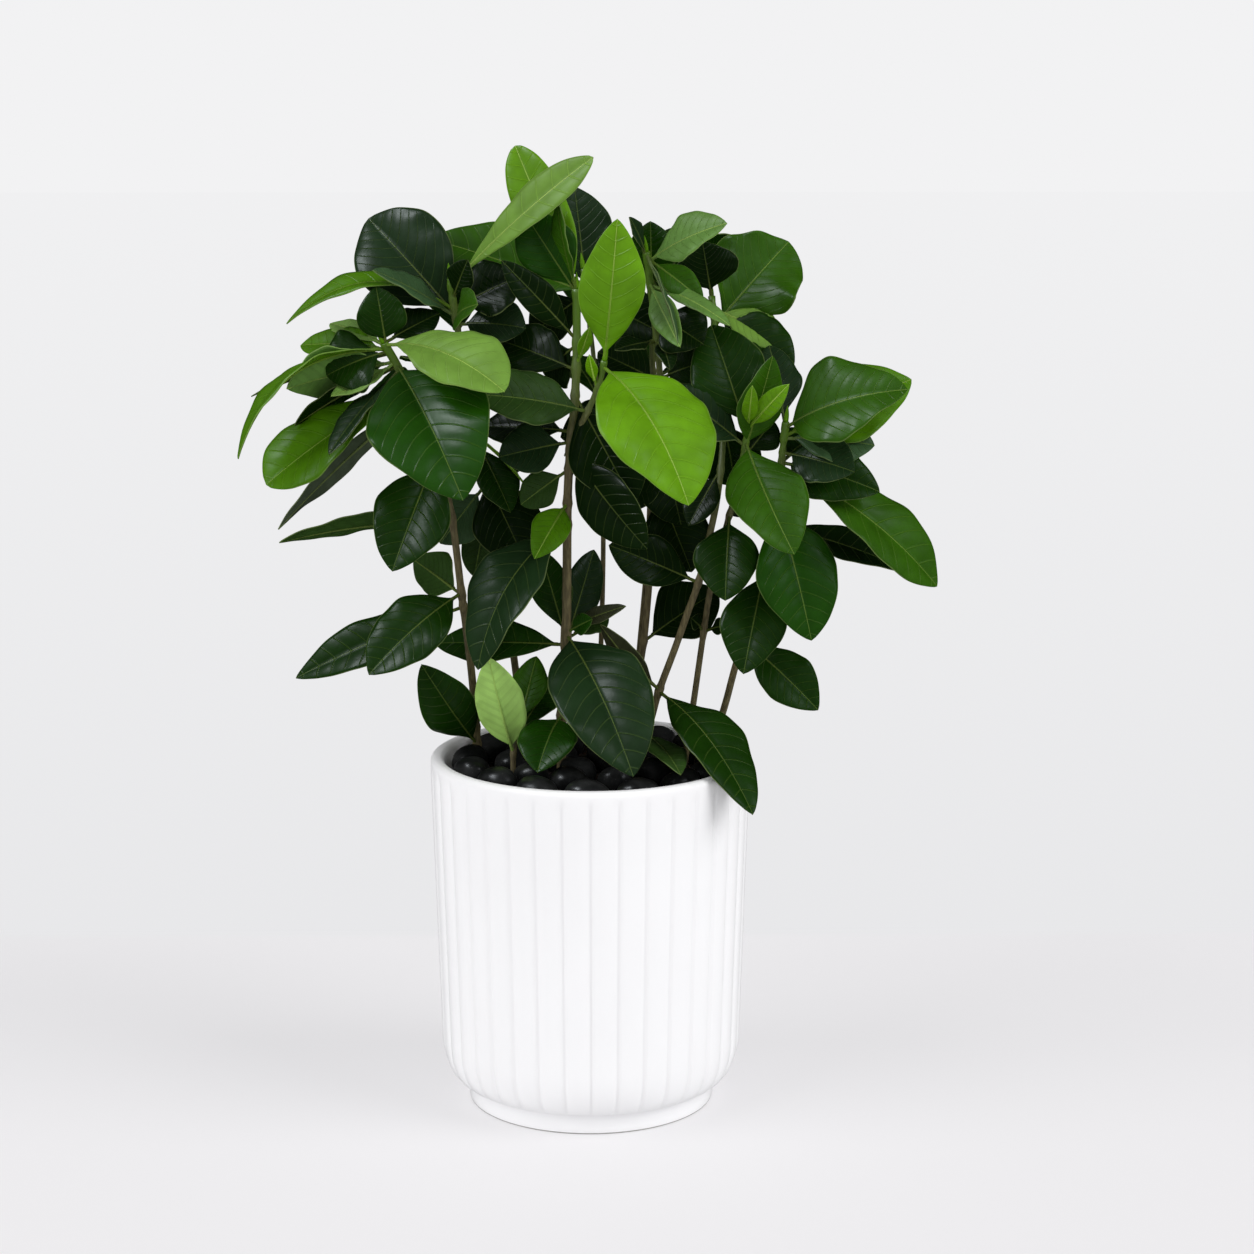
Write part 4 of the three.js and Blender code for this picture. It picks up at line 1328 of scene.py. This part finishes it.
        Leaf(264, (73, -22, 217), 32, (-5, 15), Tone.DARK, bow=0.05),
        Leaf(297, (105, -26, 234), 41, (10, 15), Tone.GLOSSY, bow=0.05),
        Leaf(285, (154, 12, 261), 20, (0, 50), Tone.DEEP, bow=0.04),
        Leaf(314, (166, -10, 257), 38, (20, 46), Tone.MOSS, bow=0.09, widest=0.61),
        Leaf(316, (137, -18, 304), 33, (0, 32), Tone.DARK, bow=0.08, widest=0.37),
        Leaf(321, (124, -28, 315), 30, (-4, 38), Tone.SLATE, bow=0.04),
        Leaf(328, (135, -10, 325), 30, (0, 42), Tone.SILVER, bow=0.05),
        Leaf(333, (148, -30, 354), 46, (-6, 40), Tone.MOSS, bow=0.11, widest=0.4),
        Leaf(329, (154, 10, 354), 41, (0, 34), Tone.FRESH, widest=0.43),
        Leaf(334, (86, 14, 370), 24, (10, 35), Tone.SLATE),
        Leaf(299, (67, 14, 289), 11, (0, 20), Tone.DEEP),
        Leaf(262, (118, 62, 258), 32, (150, 58), Tone.DARK, bow=0.08),
        Leaf(316, (132, 58, 322), 32, (150, 55), Tone.DARK, bow=0.08),
    )),)),
    LeafyStem("stem_back", (Axis(1.9, (
        (22, 52, 160), (24, 54, 200), (29, 58, 260), (31, 60, 320), (31, 62, 370),
        (30, 62, 400),
    ), (
        Leaf(300, (78, 84, 296), 34, (150, 60), Tone.DARK, bow=0.1),
        Leaf(304, (42, 126, 310), 34, (180, 58), Tone.DARK, bow=0.1),
        Leaf(348, (88, 92, 356), 34, (150, 58), Tone.DARK, bow=0.1),
        Leaf(352, (30, 126, 364), 34, (180, 58), Tone.DARK, bow=0.1),
        Leaf(394, (80, 86, 414), 30, (150, 50), Tone.DARK, bow=0.08),
        Leaf(396, (44, 112, 420), 32, (180, 45), Tone.DARK, bow=0.08),
        Leaf(390, (30, 60, 426), 26, (10, 10), Tone.DARK),
    )),)),
)


# Studio


@dataclass
class Studio:
    """Pale floor that meets a pale wall behind the pot, with soft lights and the photograph's camera."""

    wall: RGBA = colour(242, 242, 243)
    # painted shade: the wall's darker tone near the floor line
    shaded_wall_foot: RGBA = colour(230, 230, 232)
    wall_line: Pair = (0.25, 0.27)
    wall_fade: float = 1.4
    floor: RGBA = colour(222, 220, 221)
    floor_glow: RGBA = (1.0, 0.995, 1.02, 1.0)
    glow_share: float = 0.47
    floor_half: float = 8.0
    ambient: float = 0.445
    daylight: Point = (0.9, 0.95, 1.0)
    windows_aim: Point = (0.0, 0.0, 0.3)
    eye: Point = (0.0, -1.418, 0.522)
    pitch: float = 11.42
    yaw: float = 0.72
    lens_pixels: float = 3000.0
    frame_pixels: float = 1254.0
    sensor: float = 36.0

    def build(self) -> None:
        """Builds the floor, world, lights and camera."""
        self.build_floor()
        self.build_world()
        self.add_sun("right_light", turn=66, rise=35, strength=1.63, spread=40.0)
        self.add_sun("left_light", turn=-62, rise=32, strength=1.45, spread=50.0)
        self.add_sun("front_light", turn=5, rise=25, strength=0.34, spread=60.0)
        self.add_window("left_window", place=(-0.95, -0.45, 1.6), size=(0.36, 0.42), power=28.0)
        self.add_window("front_window", place=(0.1, -1.7, 1.5), size=(0.3, 0.18), power=1.0)
        self.add_window("right_window", place=(1.0, -0.8, 1.4), size=(0.2, 0.3), power=4.0)
        self.add_camera()
        view = bpy.context.scene.view_settings
        view.view_transform = "Standard"
        view.look = "None"

    def floor_material(self) -> Material:
        """Makes the floor's material, which takes on the wall's tone behind the line where they meet, with
        painted shade that darkens the wall towards that line.

        Returns:
            The material.
        """
        shader = Shader("studio_floor")
        _, depth, _ = shader.parts(shader.place())
        shader.surface(Base_Color=self.floor, Roughness=0.6, Specular_IOR_Level=0.0)
        even = shader.node("ShaderNodeEmission", {}, {"Color": self.floor_glow, "Strength": 1.0})
        # painted shade: the wall darkens towards the line where it meets the floor
        tone = shader.mix(self.wall_fade / (depth + self.wall_fade), self.wall, self.shaded_wall_foot)
        glow = shader.node("ShaderNodeEmission", {}, {"Color": tone, "Strength": 1.0})
        principled = Signal(shader, shader.principled.outputs[0])
        lit = shader.node("ShaderNodeMixShader", {}, {0: self.glow_share, 1: principled, 2: even})
        behind = depth.ramp(*self.wall_line)
        mixed = shader.node("ShaderNodeMixShader", {}, {0: behind, 1: lit, 2: glow})
        shader.tree.links.new(mixed.socket, shader.output.inputs[0])
        return shader.material

    def build_floor(self) -> None:
        """Lays the floor."""
        mesh = bmesh.new()
        bmesh.ops.create_grid(mesh, x_segments=1, y_segments=1, size=self.floor_half)
        data = bpy.data.meshes.new("floor")
        mesh.to_mesh(data)
        mesh.free()
        data.materials.append(self.floor_material())
        floor = bpy.data.objects.new("floor", data)
        floor.visible_glossy = False
        bpy.context.scene.collection.objects.link(floor)

    def build_world(self) -> None:
        """Makes the surroundings: the wall's tone to the eye, dimmer as a light and not mirrored."""
        shader = Shader("studio", world=True)
        bpy.context.scene.world = shader.material
        shader.material.cycles_visibility.glossy = False
        seen = shader.node("ShaderNodeLightPath", {}, {}, "Is Camera Ray")
        shader.surface(Color=self.wall, Strength=self.ambient + seen * (1 - self.ambient))

    @staticmethod
    def aim(name: str, data: bpy.types.Light, place: Vector, target: Vector) -> bpy.types.Object:
        """Adds a lamp and turns it to a target.

        Args:
            name: The lamp's name.
            data: The lamp's settings.
            place: Where it hangs.
            target: What it shines on.

        Returns:
            The lamp.
        """
        lamp = bpy.data.objects.new(name, data)
        lamp.location = place
        lamp.rotation_euler = (target - place).to_track_quat("-Z", "Y").to_euler()
        bpy.context.scene.collection.objects.link(lamp)
        return lamp

    def add_sun(self, name: str, turn: float, rise: float, strength: float, spread: float) -> None:
        """Adds even light from afar, which no surface mirrors.

        Args:
            name: The lamp's name.
            turn: Degrees to the right of the front.
            rise: Degrees above the floor.
            strength: Power for each square metre.
            spread: How soft its shadows are, in degrees.
        """
        data = bpy.data.lights.new(name, "SUN")
        data.energy = strength
        data.angle = math.radians(spread)
        turn, rise = math.radians(turn), math.radians(rise)
        place = Vector((math.sin(turn) * math.cos(rise), -math.cos(turn) * math.cos(rise), math.sin(rise)))
        self.aim(name, data, place, Vector()).visible_glossy = False

    def add_window(self, name: str, place: Point, size: Pair, power: float) -> None:
        """Hangs a rectangular light that is only seen mirrored in glossy surfaces.

        Args:
            name: The lamp's name.
            place: Where it hangs, in metres.
            size: Its width and height.
            power: Its power in watts.
        """
        data = bpy.data.lights.new(name, "AREA")
        data.shape = "RECTANGLE"
        data.size, data.size_y = size
        data.energy = power
        data.color = self.daylight
        self.aim(name, data, Vector(place), Vector(self.windows_aim)).visible_diffuse = False

    def add_camera(self) -> None:
        """Sets up the camera at the photograph's place, tilt and lens."""
        data = bpy.data.cameras.new("camera")
        data.sensor_width = self.sensor
        data.lens = self.sensor * self.lens_pixels / self.frame_pixels
        camera = bpy.data.objects.new("camera", data)
        camera.location = self.eye
        camera.rotation_euler = (math.radians(90 - self.pitch), 0.0, -math.radians(self.yaw))
        bpy.context.scene.collection.objects.link(camera)
        bpy.context.scene.camera = camera


def main() -> None:
    """Builds the pot, its pebbles, the plant and the studio."""
    logging.basicConfig(level=logging.INFO, format="%(message)s")
    Pot().build()
    PebbleBed().build()
    Plant(STEMS).build()
    Studio().build()


if __name__ == "__main__":
    main()
